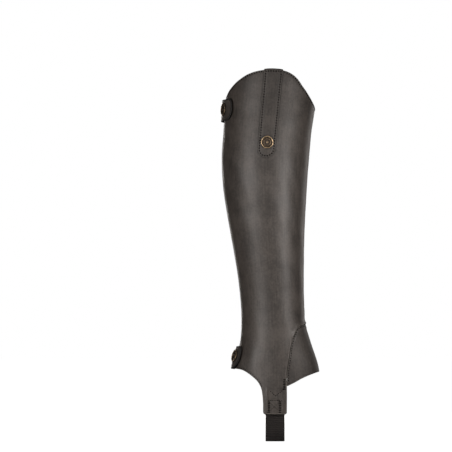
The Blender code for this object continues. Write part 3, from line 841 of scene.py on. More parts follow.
def worn_and_highlit_line(tree, edge, specks):
    """How much the line just inside a cut edge is lightened, as wear and painted highlight, broken up by the
    specks.
    """
    line = sums(tree, "MULTIPLY", band(tree, edge, 0.25, 0.6), band(tree, edge, 1.0, 1.9, 1.0, 0.0))
    return sums(tree, "MULTIPLY", line, band(tree, specks, 0.35, 0.6, 0.5, 1.0))


def hide_colour(tree, kind, tone, specks, painted, flesh):
    """The hide's tone, painted shade beside stitches, an edge line of wear and painted highlight, and edge
    paint.
    """
    dark, light = (tuple(kind.shade * c for c in colour) for colour in (LEATHER_DARK, LEATHER_LIGHT))
    colour = mixed(tree, band(tree, tone, 0.38, 0.62), dark, light)
    # Painted shade in the grooves beside the rows of stitches.
    painted_stitch_shade = band(tree, kept_value(tree, "seam"), 0.5, 1.7, kind.pull, 0.0)
    colour = mixed(tree, painted_stitch_shade, colour, EDGE_PAINT_AND_SHADE)
    # The line just inside the edge is lightened, partly as wear and partly as a painted highlight.
    rubbed = worn_and_highlit_line(tree, kept_value(tree, "edge"), specks)
    colour = mixed(tree, sums(tree, "MULTIPLY", rubbed, kind.worn), colour, LEATHER_WORN_AND_HIGHLIT)
    colour = mixed(tree, painted, colour, EDGE_PAINT_AND_SHADE)
    return mixed(tree, flesh, colour, FLESH_SIDE)


print("the lighter leather is", round(LEATHER_LIGHT[0] / LEATHER_DARK[0], 1), "times the darker")

# %% [markdown]
# ## Leather for each piece
#
# The pieces come from different hides, so each has its own shade and roughness, its own edge
# line, lightened partly as wear and partly as a painted highlight, its own painted shade beside
# the stitches and its own width of edge paint. On the tabs the wide edge paint is partly a painted
# shadow, and the facing's light shade is painted light. The pebbles of the grain are only a bump,
# because in satin leather they change the gloss and not the colour.

# %% Leather finishes
def leather_finish(name, kind):
    """A leather of this kind. Its pull is how much painted shade lies beside a row of stitches."""
    finish, tree, shader = blank_finish(name)
    place = in_millimetres(tree)
    clouds = noise(tree, place, size=30.0)
    streaks = noise(tree, on_pattern(tree, (1.0, 0.045, 1.0)), size=1.9, detail=4.0, roughness=0.6)
    specks = noise(tree, place, size=3.2, detail=4.0, roughness=0.65)
    tone = weighted(tree, (clouds, 0.38), (streaks, 0.27), (specks, 0.35))
    # Edge paint. On the tabs it is widened, partly into a painted shadow under the lifted end.
    painted = band(tree, kept_value(tree, "edge"), kind.paint - PAINT_FADE, kind.paint, 1.0, 0.0)
    flesh = band(tree, kept_value(tree, "depth"), 0.9, 0.99)
    rough = sums(tree, "ADD", kind.roughness - 0.05, sums(tree, "MULTIPLY", tone, 0.12))
    rough = sums(tree, "ADD", rough, sums(tree, "MULTIPLY", flesh, 0.35), clamp=True)
    rough = sums(tree, "ADD", rough, sums(tree, "MULTIPLY", painted, 0.25), clamp=True)
    pebbles = add_node(tree, "ShaderNodeTexVoronoi", {"Vector": place, "Scale": 1.0 / 0.85},
                       feature="SMOOTH_F1").outputs["Distance"]
    normal = bumped(tree, pebbles, depth_mm=0.05, strength=0.5)
    normal = bumped(tree, noise(tree, place, size=0.9), 0.03, 0.5, under=normal)
    normal = bumped(tree, streaks, 0.05, 0.5, under=normal)
    normal = bumped(tree, specks, 0.06, 0.45, under=normal)
    set_inputs(tree, shader, {"Base Color": hide_colour(tree, kind, tone, specks, painted, flesh),
                              "Roughness": rough, "Specular IOR Level": 0.5, "Normal": normal})
    return finish


leg_leather = leather_finish("leg_leather", Leather(1.0, 0.46, 1.0, 0.3, 0.65))
strap_leather = leather_finish("strap_leather", Leather(0.85, 0.50, 0.2, 0.1, 0.65))
# The tabs' edge paint is 1.9 mm wide: partly edge paint, partly a painted shadow under the tab's lifted end.
tab_leather = leather_finish("tab_leather", Leather(0.90, 0.50, 0.25, 0.0, 1.9))
gusset_leather = leather_finish("gusset_leather", Leather(0.85, 0.56, 0.4, 0.15, 0.65))
# The facing's shade of 1.35 is painted light: it lightens the leather for the dim light inside the top edge.
facing_leather_painted_lighter = leather_finish("facing_leather_painted_lighter", Leather(1.35, 0.52, 0.6, 0.0, 0.65))

# %% [markdown]
# ## Suede
#
# Suede is the flesh side of a hide, brushed until it stands up. It has no gloss, but its nap
# catches light at a low angle and lies in darker and lighter patches where it was stroked.
# Real hairs would be far too many, so the sheen input gives the first and two sizes of noise
# the second. Beside the leather's edge the suede is painted darker, a painted shadow of the leather.

# %% Suede finish
def suede_finish(name, dark, light):
    """Suede between two colours."""
    finish, tree, shader = blank_finish(name)
    place = in_millimetres(tree)
    patches = noise(tree, place, size=24.0, detail=2.0, roughness=0.5)
    strokes = noise(tree, on_pattern(tree, (1.0, 0.7, 1.0)), size=2.0, detail=3.0, roughness=0.65)
    hairs = noise(tree, place, size=0.5, detail=2.0, roughness=0.6)
    tone = weighted(tree, (patches, 0.32), (strokes, 0.68))
    colour = mixed(tree, band(tree, tone, 0.36, 0.64), dark, light)
    # Painted shadow of the leather's edge on the suede beside the seam.
    painted_leather_shadow = band(tree, kept_value(tree, "seam"), 1.0, 6.0, 0.5, 0.0)
    colour = mixed(tree, painted_leather_shadow, colour, EDGE_PAINT_AND_SHADE)
    colour = mixed(tree, band(tree, kept_value(tree, "edge"), 0.12, 0.42, 1.0, 0.0), colour, EDGE_PAINT_AND_SHADE)
    normal = bumped(tree, hairs, depth_mm=0.10, strength=0.7)
    normal = bumped(tree, strokes, 0.12, 0.6, under=normal)
    set_inputs(tree, shader, {"Base Color": colour, "Roughness": 0.95, "Specular IOR Level": 0.15,
                              "Sheen Weight": 0.30, "Sheen Roughness": 0.45,
                              "Sheen Tint": (0.50, 0.44, 0.40, 1.0), "Normal": normal})
    return finish


calf_suede = suede_finish("calf_suede", (0.017, 0.0137, 0.0134), (0.084, 0.067, 0.066))

# %% [markdown]
# ## Lining, elastic and zip tape
#
# These are all plain weaves and differ in the pitch of their threads, so one function makes
# them. A checker set on the slant gives the weave's small steps as a bump. The lining is brushed,
# which shows as streaks up the cloth, while the elastic and the tape have short ones.

# %% Cloth finishes
SLANT = (0.0, 0.0, pi / 4)


def cloth_finish(name, dark, light, thread, streak):
    """A plain weave of this thread pitch, with streaks this many times longer than wide."""
    finish, tree, shader = blank_finish(name)
    slanted = add_node(tree, "ShaderNodeMapping", {"Vector": on_pattern(tree), "Rotation": SLANT})
    weave = add_node(tree, "ShaderNodeTexChecker",
                     {"Vector": slanted.outputs[0], "Scale": 1.0 / thread}).outputs["Fac"]
    streaks = noise(tree, on_pattern(tree, (1.0, 1.0 / streak, 1.0)), size=1.4, detail=4.0, roughness=0.65)
    fuzz = noise(tree, in_millimetres(tree), size=0.6)
    tone = weighted(tree, (streaks, 0.7), (fuzz, 0.3))
    colour = mixed(tree, band(tree, tone, 0.36, 0.64), dark, light)
    normal = bumped(tree, weave, depth_mm=0.10, strength=0.5)
    normal = bumped(tree, fuzz, 0.10, 0.6, under=normal)
    set_inputs(tree, shader, {"Base Color": colour, "Roughness": 0.9, "Specular IOR Level": 0.25,
                              "Sheen Weight": 0.12, "Normal": normal})
    return finish


lining_cloth = cloth_finish("lining_cloth", (0.024, 0.0192, 0.0188), (0.060, 0.049, 0.048), 0.6, 9.0)
elastic_cloth = cloth_finish("elastic_cloth", (0.005, 0.0045, 0.004), (0.010, 0.009, 0.0085), 0.7, 0.2)
rib_cloth = cloth_finish("rib_cloth", (0.016, 0.0135, 0.013), (0.040, 0.034, 0.032), 0.7, 0.2)
zip_cloth = cloth_finish("zip_cloth", (0.010, 0.009, 0.0085), (0.018, 0.016, 0.015), 0.5, 2.0)

# %% [markdown]
# ## Threads
#
# Sewing thread is twisted, and so is the nylon of the zip's coil. A stitch is too short for the
# twist to be modelled, but fine spots of light and dark along it read the same from a step
# away. Waxed dark thread is dull, and the suede's hem is sewn in the brightest one.

# %% Thread finishes
def thread_finish(name, colour, roughness=0.6):
    """Twisted thread: fine spots, darker and lighter than its colour."""
    finish, tree, shader = blank_finish(name)
    twist = noise(tree, in_millimetres(tree), size=0.35, detail=2.0)
    low, high = (tuple(c * share for c in colour) for share in (0.7, 1.25))
    set_inputs(tree, shader, {"Base Color": mixed(tree, twist, low, high), "Roughness": roughness,
                              "Specular IOR Level": 0.15,
                              "Normal": bumped(tree, twist, depth_mm=0.05, strength=0.6)})
    return finish


dark_thread = thread_finish("dark_thread", (0.004, 0.0035, 0.003), 0.9)
brown_thread = thread_finish("brown_thread", (0.024, 0.020, 0.018))
pale_thread = thread_finish("pale_thread", (0.150, 0.132, 0.118), 0.75)
hem_thread = thread_finish("hem_thread", (0.300, 0.268, 0.245), 0.75)
coil_nylon = thread_finish("coil_nylon", (0.019, 0.017, 0.016), 0.42)

# %% [markdown]
# ## Antique metal
#
# The snap caps are pressed brass, dipped dark and then rubbed, so that the raised parts shine
# like old gold and the hollows stay brown-black. Two materials could be set on two groups of
# faces, but the change is gradual. A turned cap keeps its relative height on its points
# instead, and the finish goes from patina to bare metal with that height.

# %% Metal finishes
PATINA = (0.062, 0.050, 0.041)
BARE_BRASS = (0.47, 0.345, 0.215)


def metal_finish(name, bare_from, bare_to):
    """Brass that is bare where the height, with some tarnish, goes from one value to the other."""
    finish, tree, shader = blank_finish(name)
    tarnish = noise(tree, in_millimetres(tree), size=2.0, detail=4.0, roughness=0.7)
    height = sums(tree, "ADD", kept_value(tree, "height"), sums(tree, "MULTIPLY", tarnish, 0.3))
    rubbed = band(tree, height, bare_from, bare_to)
    set_inputs(tree, shader, {"Base Color": mixed(tree, rubbed, PATINA, BARE_BRASS), "Metallic": 1.0,
                              "Roughness": band(tree, rubbed, 0.0, 1.0, 0.55, 0.38),
                              "Normal": bumped(tree, tarnish, depth_mm=0.03, strength=0.4)})
    return finish


antique_brass = metal_finish("antique_brass", 0.84, 1.10)
dark_brass = metal_finish("dark_brass", -0.4, 1.3)

# %% [markdown]
# ## Rows of stitches with Geometry Nodes
#
# A sewing machine does one simple thing again and again: it lays a short length of thread,
# dips, and moves on. That is a job for Geometry Nodes. The tree takes a thin line of edges
# that lies on the leather, puts a point at every pitch, and sets one small bead of thread on
# each, turned along the line and level with the leather. The same tree, with other
# sizes, makes the zip's coil, the beads on the snap caps and the ribs of the elastic.

# %% The tree's inputs and its small parts
RUN_SIZES = ("Pitch", "Length", "Width", "Height", "Sideways", "Wander")


def run_inputs(tree):
    """The tree's inputs: geometry, named sizes, a fixed seed and a finish."""
    face = tree.interface
    face.new_socket("Geometry", in_out="INPUT", socket_type="NodeSocketGeometry")
    for label in RUN_SIZES:
        face.new_socket(label, in_out="INPUT", socket_type="NodeSocketFloat")
    face.new_socket("Seed", in_out="INPUT", socket_type="NodeSocketInt")
    face.new_socket("Finish", in_out="INPUT", socket_type="NodeSocketMaterial")
    face.new_socket("Geometry", in_out="OUTPUT", socket_type="NodeSocketGeometry")
    return add_node(tree, "NodeGroupInput").outputs


def turned_along(tree):
    """A bead's turn: its length along the line and its height out of the leather."""
    out = add_node(tree, "GeometryNodeInputNamedAttribute", {"Name": "out"},
                   data_type="FLOAT_VECTOR").outputs[0]
    tangent = add_node(tree, "GeometryNodeInputTangent").outputs[0]
    along = add_node(tree, "FunctionNodeAlignRotationToVector", {"Vector": tangent}, axis="X").outputs[0]
    return add_node(tree, "FunctionNodeAlignRotationToVector", {"Rotation": along, "Vector": out},
                    axis="Z", pivot_axis="X").outputs[0]


def bead_size(tree, start):
    """A bead's size. Its length wanders a little from stitch to stitch."""
    least = sums(tree, "SUBTRACT", 1.0, start["Wander"])
    most = sums(tree, "ADD", 1.0, start["Wander"])
    share = add_node(tree, "FunctionNodeRandomValue", {2: least, 3: most, 8: start["Seed"]},
                     data_type="FLOAT").outputs[1]
    length = sums(tree, "MULTIPLY", start["Length"], share)
    return add_node(tree, "ShaderNodeCombineXYZ",
                    {"X": length, "Y": start["Width"], "Z": start["Height"]}).outputs[0]


def side_step(tree, start):
    """A step to one side for every other bead, and to the other side for the rest."""
    odd = sums(tree, "MODULO", add_node(tree, "GeometryNodeInputIndex").outputs[0], 2.0)
    side = sums(tree, "SUBTRACT", sums(tree, "MULTIPLY", odd, 2.0), 1.0)
    shift = sums(tree, "MULTIPLY", side, start["Sideways"])
    return add_node(tree, "ShaderNodeCombineXYZ", {"Y": shift}).outputs[0]


print("sizes of a run:", ", ".join(RUN_SIZES))

# %% [markdown]
# ## The whole tree
#
# The parts join up here. A bead is one unit long, wide and high, and the tree scales it. The
# tree ends by making its instances real and giving them their finish, because a plain mesh is
# what the model keeps.

# %% The tree for what repeats along a line
def run_tree(name, bead):
    """Beads along lines. bead(tree) adds the nodes of one bead."""
    tree = bpy.data.node_groups.new(name, "GeometryNodeTree")
    start = run_inputs(tree)
    curve = add_node(tree, "GeometryNodeMeshToCurve", {"Mesh": start["Geometry"]}).outputs[0]
    spaced = add_node(tree, "GeometryNodeResampleCurve",
                      {"Curve": curve, "Length": start["Pitch"]}, mode="LENGTH").outputs[0]
    placed = add_node(tree, "GeometryNodeInstanceOnPoints",
                      {"Points": spaced, "Instance": bead(tree), "Rotation": turned_along(tree),
                       "Scale": bead_size(tree, start)}).outputs[0]
    moved = add_node(tree, "GeometryNodeTranslateInstances",
                     {"Instances": placed, "Translation": side_step(tree, start),
                      "Local Space": True}).outputs[0]
    real = add_node(tree, "GeometryNodeRealizeInstances", {0: moved}).outputs[0]
    done = add_node(tree, "GeometryNodeSetMaterial",
                    {"Geometry": real, "Material": start["Finish"]}).outputs[0]
    add_node(tree, "NodeGroupOutput", {0: done})
    return tree


def grain_of_thread(tree, segments=6, rings=5):
    """A ball of few faces with its poles along the line."""
    ball = add_node(tree, "GeometryNodeMeshUVSphere",
                    {"Segments": segments, "Rings": rings, "Radius": 0.5}).outputs["Mesh"]
    return add_node(tree, "GeometryNodeTransform",
                    {"Geometry": ball, "Rotation": (0.0, pi / 2, 0.0)}).outputs[0]


def round_bar(tree, sides=8):
    """A round bar that lies across the line."""
    bar = add_node(tree, "GeometryNodeMeshCylinder",
                   {"Vertices": sides, "Radius": 0.5, "Depth": 1.0}).outputs["Mesh"]
    return add_node(tree, "GeometryNodeTransform",
                    {"Geometry": bar, "Rotation": (pi / 2, 0.0, 0.0)}).outputs[0]


thread_run = run_tree("thread_run", grain_of_thread)
bar_run = run_tree("bar_run", round_bar)
print("nodes in the thread's tree:", len(thread_run.nodes))

# %% [markdown]
# ## Growing a row
#
# A row starts as a bare line of edges just above the leather, which also says which way is out.
# The tree grows its beads along it as a modifier. The result is then taken as a plain mesh, as
# the exported model can't grow anything.

# %% A run of beads
Run = namedtuple("Run", "points out")
Bead = namedtuple("Bead", "pitch length width height sideways wander", defaults=(0.0, 0.06))


def unit_rows(ways):
    return ways / np.linalg.norm(ways, axis=1)[:, None]


def laid_on(place, line, lift, step=0.8):
    """A run along a flat line, this lift above the piece's face."""
    line = evened_line(np.asarray(line, float), step)
    points = place(line, np.full(len(line), -lift))
    return Run(points, unit_rows(place(line, np.full(len(line), -lift - 1.0)) - points))


def line_object(name, runs):
    """A bare line of edges for each run, with the way out of the leather on its points."""
    points = np.vstack([run.points for run in runs])
    ways = np.vstack([run.out for run in runs])
    edges, start = [], 0
    for run in runs:
        edges += [(i, i + 1) for i in range(start, start + len(run.points) - 1)]
        start += len(run.points)
    mesh = bpy.data.meshes.new(name)
    mesh.from_pydata((points * MM).tolist(), edges, [])
    kept = mesh.attributes.new("out", "FLOAT_VECTOR", "POINT")
    kept.data.foreach_set("vector", np.asarray(ways, np.float32).ravel())
    return linked(name, mesh)


def repeated(name, tree, runs, bead, finish, seed=5):
    """The runs grown into beads by the tree, as a plain mesh."""
    made = line_object(name, runs)
    grower = made.modifiers.new(tree.name, "NODES")
    grower.node_group = tree
    sizes = dict(zip(RUN_SIZES, [v * MM for v in bead[:5]] + [bead.wander]))
    sizes.update(Seed=seed, Finish=finish)
    for socket in tree.interface.items_tree:
        if socket.in_out == "INPUT" and socket.name in sizes:
            grower[socket.identifier] = sizes[socket.name]
    grown = made.evaluated_get(bpy.context.evaluated_depsgraph_get())
    mesh = bpy.data.meshes.new_from_object(grown)
    made.modifiers.remove(grower)
    bare = made.data
    made.data = mesh
    bpy.data.meshes.remove(bare)
    mesh.name = name
    if not mesh.materials:
        mesh.materials.append(finish)
    mesh.shade_smooth()
    print(f"{name}: {len(mesh.polygons)} faces")
    return made


print("wander of a stitch's length:", Bead(2.0, 1.0, 1.0, 1.0).wander)

# %% [markdown]
# ## Finishing a piece
#
# Each finished piece rides on the one body of this part, and may stand for a plain solid, which
# is then hidden.

# %% A helper for finished pieces
def finished(piece, slot, *nodes):
    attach(piece, "root")
    if nodes:
        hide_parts(*nodes)
    return piece


print("materials in all:", len(bpy.data.materials))

# %% [markdown]
# ## The sewing lines
#
# The sewing is drawn on the pattern before the panels are cut, because the leather sinks under
# it. Stitches laid on even leather would look stuck on. The zip and the suede seam have a row
# of small ones just inside the leather's edge, and the top edge and the hem have heavier ones.

# %% Rows along the edges
EDGE_ROW = 2.0
ZIP_ROW = 7.6
TOP_ROW_START = 11.0
INNER_ZIP_ROW_TOP = -290.0
SUEDE_ROW_END = 345.0
BACK_HEM_START = 9.0
BACK_HEM_END = 71.0
HEM_LEVEL = BACK_HEM[0][1]
suede_line = smooth_line(SUEDE_SEAM)
outer_seam_line = smooth_line(GUSSET_OUTER_SEAM)
inner_seam_line = smooth_line(GUSSET_INNER_SEAM)
outer_top_line = smooth_line(OUTER_TOP_EDGE)
inner_top_edge = smooth_line(INNER_TOP_EDGE)
top_row = beside(between(outer_top_line, TOP_ROW_START, SEAM_TOP_ANGLE), EDGE_ROW)
zip_row = zip_edge(HEM_LEVEL + EDGE_ROW, slot_level(TOP_EDGE, 1) + EDGE_ROW, ZIP_ROW)
inner_zip_row = other_side(zip_edge(HEM_LEVEL + EDGE_ROW, INNER_ZIP_ROW_TOP, ZIP_ROW))
suede_row = between(beside(suede_line, EDGE_ROW), 0.0, SUEDE_ROW_END)[1:]
back_hem_edge = between(smooth_line(BACK_HEM), BACK_HEM_START, BACK_HEM_END)
back_hem_edges = [back_hem_edge, other_side(back_hem_edge)]
back_hem_line = beside(back_hem_edge, -EDGE_ROW)
back_hem_rows = [back_hem_line, other_side(back_hem_line)]
print("the top row is", round(run_lengths(top_row)[-1]), "mm long on the pattern")

# %% [markdown]
# ## The sewing on the tongues
#
# At each tongue a pointed row closes the top, a crossed box with a bar tack at each side holds
# the elastic, and a pressed ridge runs along both edges. They are easiest to measure from the
# side, so the table says how far forward each point shows, and the angle is worked out.

# %% Rows on the tongues
TONGUE_POINT = ((7.4, -340.5), (14.4, -347), (23.5, -339.7), (26.8, -334.8))
TONGUE_BOX_TOP = ((4.6, -353.5), (22.6, -353.5))
TONGUE_CROSS = (((6, -356.5), (19.5, -368.5)), ((19.5, -356.5), (6, -368.5)))
TONGUE_TACKS = (((4.7, -355.4), (4.7, -370.4)), ((20.7, -355.4), (20.7, -370.4)))
TONGUE_SIDE_TACK = ((27.2, -323.2), (27.2, -337.6))
TONGUE_RIDGES = (((2.4, -338), (2.4, -369)), ((25.2, -351), (25.2, -370)))


def angle_at_x(xs, levels):
    """The angles on the outer side that show at these x in the side view."""
    back, front, _, widest_x = read_section(levels).T
    xs = np.atleast_1d(xs)
    reach = np.where(xs < widest_x, widest_x - back, front - widest_x)
    return np.degrees(np.arccos(np.clip((widest_x - xs) / reach, -1.0, 1.0)))


def seen_line(rows, step=1.2):
    """A flat line on the outer side from rows of (x, level) in the side view."""
    rows = evened_line(np.array(rows), step)
    return np.column_stack((angle_at_x(rows[:, 0], rows[:, 1]), rows[:, 1])) * PATTERN


def both_tongues(*shapes):
    """The flat lines of these shapes on the outer tongue and on the inner one."""
    lines = [seen_line(rows) for rows in shapes]
    return [side for line in lines for side in (line, other_side(line))]


point_rows = both_tongues(TONGUE_POINT)
box_rows = both_tongues(TONGUE_BOX_TOP)
cross_rows = both_tongues(*TONGUE_CROSS)
tack_rows = both_tongues(*TONGUE_TACKS)
side_tack_rows = both_tongues(TONGUE_SIDE_TACK)
ridge_rows = both_tongues(*TONGUE_RIDGES)
print("rows of sewing on the tongues:", len(point_rows + box_rows + cross_rows + tack_rows))

# %% [markdown]
# ## The leather leg
#
# One hide panel wraps the outer side, the shin and the lower inner side, and runs down in two
# tongues that carry the elastic. Its outline could be traced point by point, but its edges are
# also the edges of its neighbours. So it is put together from them in order: up beside the zip,
# over the top, down the suede seam, and back along the hem, with its tongues and its notch.

# %% Outline of the leather leg
SEAM_GAP = 0.3


def seam_allowed(outline):
    """The outline moved in by half of the gap that is kept at each seam."""
    return moved_in(anticlockwise(outline), SEAM_GAP / 2)


def angle_of(point):
    return point[0] / FLAT_MM_PER_DEGREE


def tongue_outline():
    """The end of a tongue, from front to back, with its corners cut."""
    back = BACK_HEM[-1][0]
    rows = ((TONGUE_FRONT_ANGLE, TONGUE_END + TONGUE_CORNER),
            (TONGUE_FRONT_ANGLE - TONGUE_CORNER, TONGUE_END),
            (back + TONGUE_CORNER, TONGUE_END), (back, TONGUE_END + TONGUE_CORNER))
    return np.array(rows) * PATTERN


def leather_leg_outline():
    """All the edges of the hide panel, in order round it."""
    outer_edge = zip_edge(HEM_LEVEL, slot_level(TOP_EDGE, 1))
    inner_edge = other_side(zip_edge(HEM_LEVEL, slot_level(SUEDE_SEAM, -1)))
    top = between(outer_top_line, angle_of(outer_edge[-1]), SEAM_TOP_ANGLE)
    hem = between(smooth_line(BACK_HEM), angle_of(outer_edge[0]), SHIN_ANGLE)
    return np.vstack((
        outer_edge, top, between(suede_line, 0.0, angle_of(inner_edge[-1])),
        inner_edge[::-1], other_side(hem), other_side(tongue_outline())[::-1],
        inner_seam_line[::-1], outer_seam_line[::-1][1:], tongue_outline(), hem[::-1]))


leg_outline = seam_allowed(leather_leg_outline())
print("points in the leg's outline:", len(leg_outline))

# %% [markdown]
# ## Cutting the leather leg
#
# The panel sinks under its rows of stitches and more widely at its bar tacks, and stands up at
# the tongues' ridges and beside the gusset. Its turned edges aren't painted.

# %% Cut the leather leg
WALL = 1.8
SEAM_RIDGE_IN = 1.5
TONGUE_PRESS = Press(0.75, 0.9)
LEG_SEAM_PRESS = Press(0.60, 1.1)
TACK_PRESS = Press(-0.25, 3.0)
leg_rows = [top_row, zip_row, inner_zip_row, suede_row, *back_hem_rows, *point_rows, *box_rows]
seam_ridges = [beside(line, -SEAM_RIDGE_IN) for line in (outer_seam_line, inner_seam_line)]
leg_folds = pressed(leg_rows, STITCH_GROOVE) + pressed(ridge_rows, TONGUE_PRESS)
leg_folds += pressed(seam_ridges, LEG_SEAM_PRESS) + pressed(tack_rows + side_tack_rows, TACK_PRESS)
leg_place = on_leg(0.0, WALL, leg_folds)
leather_leg = cut_panel("leather_leg_hide", leg_outline, leg_place, WALL, leg_leather,
                        guides=leg_rows + ridge_rows + seam_ridges + tack_rows,
                        seams=[top_row, *back_hem_rows, *tack_rows, *side_tack_rows],
                        turned_in=[suede_line, outer_seam_line, inner_seam_line, *back_hem_edges])
finished(leather_leg, "leather", "leather_leg")

# %% [markdown]
# ## The suede calf panel
#
# The inner side is suede, sewn under the leather's edge, so it lies half a millimetre lower.
# Its top is turned over and sewn down with a row of bright thread and a finer one below it, and
# a pressed ridge between two rows of stitches runs beside the zip. A second sheet could make
# the turned band, but a soft step in one sheet shows the same and leaves no gap.

# %% Suede outline and rows
SUEDE_DROP = 0.5
SUEDE_WALL = WALL - SUEDE_DROP
HEM_BAND = 9.0
HEM_ROWS = (1.7, 6.8)
HEM_START = SEAM_TOP_ANGLE + 2.0
HEM_END = 349.0
PLACKET_ACROSS = 23.0
PLACKET_ROWS = (21.0, 25.2)
PLACKET_LEVELS = (-275.0, 66.0)
PLACKET_ROW_LEVELS = (-277.0, 64.0)
SUEDE_ZIP_ROW_LEVELS = (-284.0, 74.0)


def suede_outline():
    """The suede's edges: down the leather's seam, up beside the zip, and back along the top."""
    edge = other_side(zip_edge(slot_level(SUEDE_SEAM, -1), slot_level(TOP_EDGE, -1)))
    seam = between(suede_line, SEAM_TOP_ANGLE, angle_of(edge[0]), 0.0)
    top = between(inner_top_edge, SEAM_TOP_ANGLE, angle_of(edge[-1]))
    return np.vstack((suede_line[:1], seam, edge, top[::-1]))


inner_top_line = between(inner_top_edge, HEM_START, HEM_END, 0.0)
hem_rows = [beside(inner_top_line, drop) for drop in HEM_ROWS]
hem_step = beside(inner_top_line, HEM_BAND)
placket_ridge = other_side(zip_edge(*PLACKET_LEVELS, PLACKET_ACROSS))
placket_rows = [other_side(zip_edge(*PLACKET_ROW_LEVELS, across)) for across in PLACKET_ROWS]
suede_zip_row = other_side(zip_edge(*SUEDE_ZIP_ROW_LEVELS, ZIP_ROW))
print("the suede's top is", round(run_lengths(inner_top_line)[-1]), "mm long on the pattern")

# %% [markdown]
# ## Cutting the suede
#
# The turned band stands a third of a millimetre proud of the suede below it, with a soft step.

# %% Cut the suede
BAND_RISE = 0.34
BAND_SOFT = 0.55
PLACKET_PRESS = Press(0.55, 1.3)
suede_folds = pressed([*hem_rows, suede_zip_row, *placket_rows], STITCH_GROOVE)
suede_folds += pressed([placket_ridge], PLACKET_PRESS)
suede_base = on_leg(-SUEDE_DROP, SUEDE_WALL, suede_folds)


def suede_place(points, depths):
    """Flat points on the suede, with the turned band proud of the rest."""
    below_top = np.interp(points[:, 0], hem_step[:, 0], hem_step[:, 1])
    rise = BAND_RISE / (1 + np.exp(-(points[:, 1] - below_top) / BAND_SOFT))
    rise = rise * (1 - np.clip(depths / SUEDE_WALL, 0.0, 1.0))
    out = skin_normals(points[:, 0] / FLAT_MM_PER_DEGREE, points[:, 1])
    return suede_base(points, depths) + rise[:, None] * out


suede_calf = cut_panel("calf_suede_panel", seam_allowed(suede_outline()), suede_place, SUEDE_WALL,
                       calf_suede, guides=[*hem_rows, hem_step, placket_ridge, *placket_rows],
                       seams=[suede_line], turned_in=[inner_top_line])
finished(suede_calf, "suede", "suede_calf")

# %% [markdown]
# ## The front gusset
#
# A notch over the instep lets the chap spread on the boot, and a thinner piece of leather under
# the leg's edge fills it. Right beside the seam the sewing pulls it down, and next to that it
# rises again in a soft ridge. Two lines beside each seam make both.

# %% Cut the gusset
GUSSET_DROP = 0.4
GUSSET_WALL = WALL - GUSSET_DROP
SEAM_VALLEY = 2.0
SEAM_RIDGE = 4.8
SEAM_FOOT = -329.0
VALLEY_PRESS = Press(-0.25, 1.2)
RIDGE_PRESS = Press(0.20, 1.5)


def gusset_lines(distance):
    """The flat lines this far inside the gusset, beside its two seams."""
    return [beside(outer_seam_line, distance), beside(inner_seam_line, distance)]


front_hem = smooth_line(FRONT_HEM)
gusset_outline = np.vstack((outer_seam_line, inner_seam_line[1:], other_side(front_hem)[1:],
                            front_hem[::-1][1:-1]))
valleys = [line[line[:, 1] > SEAM_FOOT] for line in gusset_lines(SEAM_VALLEY)]
ridges = gusset_lines(SEAM_RIDGE)
hem_line = beside(front_hem, -EDGE_ROW)
gusset_hem_rows = [hem_line, other_side(hem_line)]
gusset_folds = pressed(valleys, VALLEY_PRESS) + pressed(ridges, RIDGE_PRESS)
gusset_folds += pressed(gusset_hem_rows, STITCH_GROOVE)
gusset_place = on_leg(-GUSSET_DROP, GUSSET_WALL, gusset_folds)
front_gusset = cut_panel("instep_gusset", seam_allowed(gusset_outline), gusset_place, GUSSET_WALL,
                         gusset_leather, step=2.0, guides=valleys + ridges + gusset_hem_rows,
                         seams=valleys, turned_in=[front_hem, other_side(front_hem)])
finished(front_gusset, "leather", "front_gusset")

# %% [markdown]
# ## The lining
#
# The high outer side shows its inside, a brushed lining. The outer panels could be copied and
# shrunk for it, but a lining has its own cut: it stops below the facing, beside the zip's tape
# and above the hem. It is the same kind of panel with a negative lift.

# %% Cut the lining
LINING_LIFT = -2.7
LINING_THICKNESS = 1.0
LINING_TOP_CLEAR = 1.0
FACING_WIDTH = 7.0
FACING_END = 212.0
INNER_TOP_MARGIN = 2.0
ZIP_TAPE_HALF = 13.0
ZIP_TAPE_CLEAR = 1.0
BESIDE_TAPE = ZIP_TAPE_HALF + ZIP_TAPE_CLEAR
PAST_SHIN = SHIN_ANGLE + 1.0


def lining_outline():
    """The lining's edges, with a step in the top where the facing ends."""
    edge = zip_edge(LINING_HEM[0][1], TOP_EDGE[0][1] - FACING_WIDTH, BESIDE_TAPE)
    outer_top = beside(outer_top_line, FACING_WIDTH + LINING_TOP_CLEAR)
    inner_top = beside(inner_top_edge, INNER_TOP_MARGIN)
    step_start = (angle_of(outer_top[-1]) + FACING_END) / 2
    step_end = step_start + CORNER_CLEAR
    last = angle_of(edge[-1])
    corner = np.array(((step_start, outer_top[-1, 1]), (step_end, inner_top[0, 1])))
    hem = between(smooth_line(LINING_HEM), angle_of(edge[0]), PAST_SHIN)
    return np.vstack((edge, between(outer_top, last, step_start), corner * PATTERN,
                      between(inner_top, step_end, FULL_TURN - last),
                      other_side(edge)[::-1], other_side(hem), hem[::-1][1:]))


lining = cut_panel("brushed_lining", lining_outline(), on_leg(LINING_LIFT, LINING_THICKNESS, soft=0.4),
                   LINING_THICKNESS, lining_cloth, step=4.0)
finished(lining, "lining", "lining")

# %% [markdown]
# ## The strap
#
# A strap with a round end hangs down the outer side. At the top it folds over the edge and is
# sewn down inside. A Curve modifier could bend it, but the edge it folds over is curved too. So
# the way it is placed does the work: up the leg, round a half circle, and down inside.

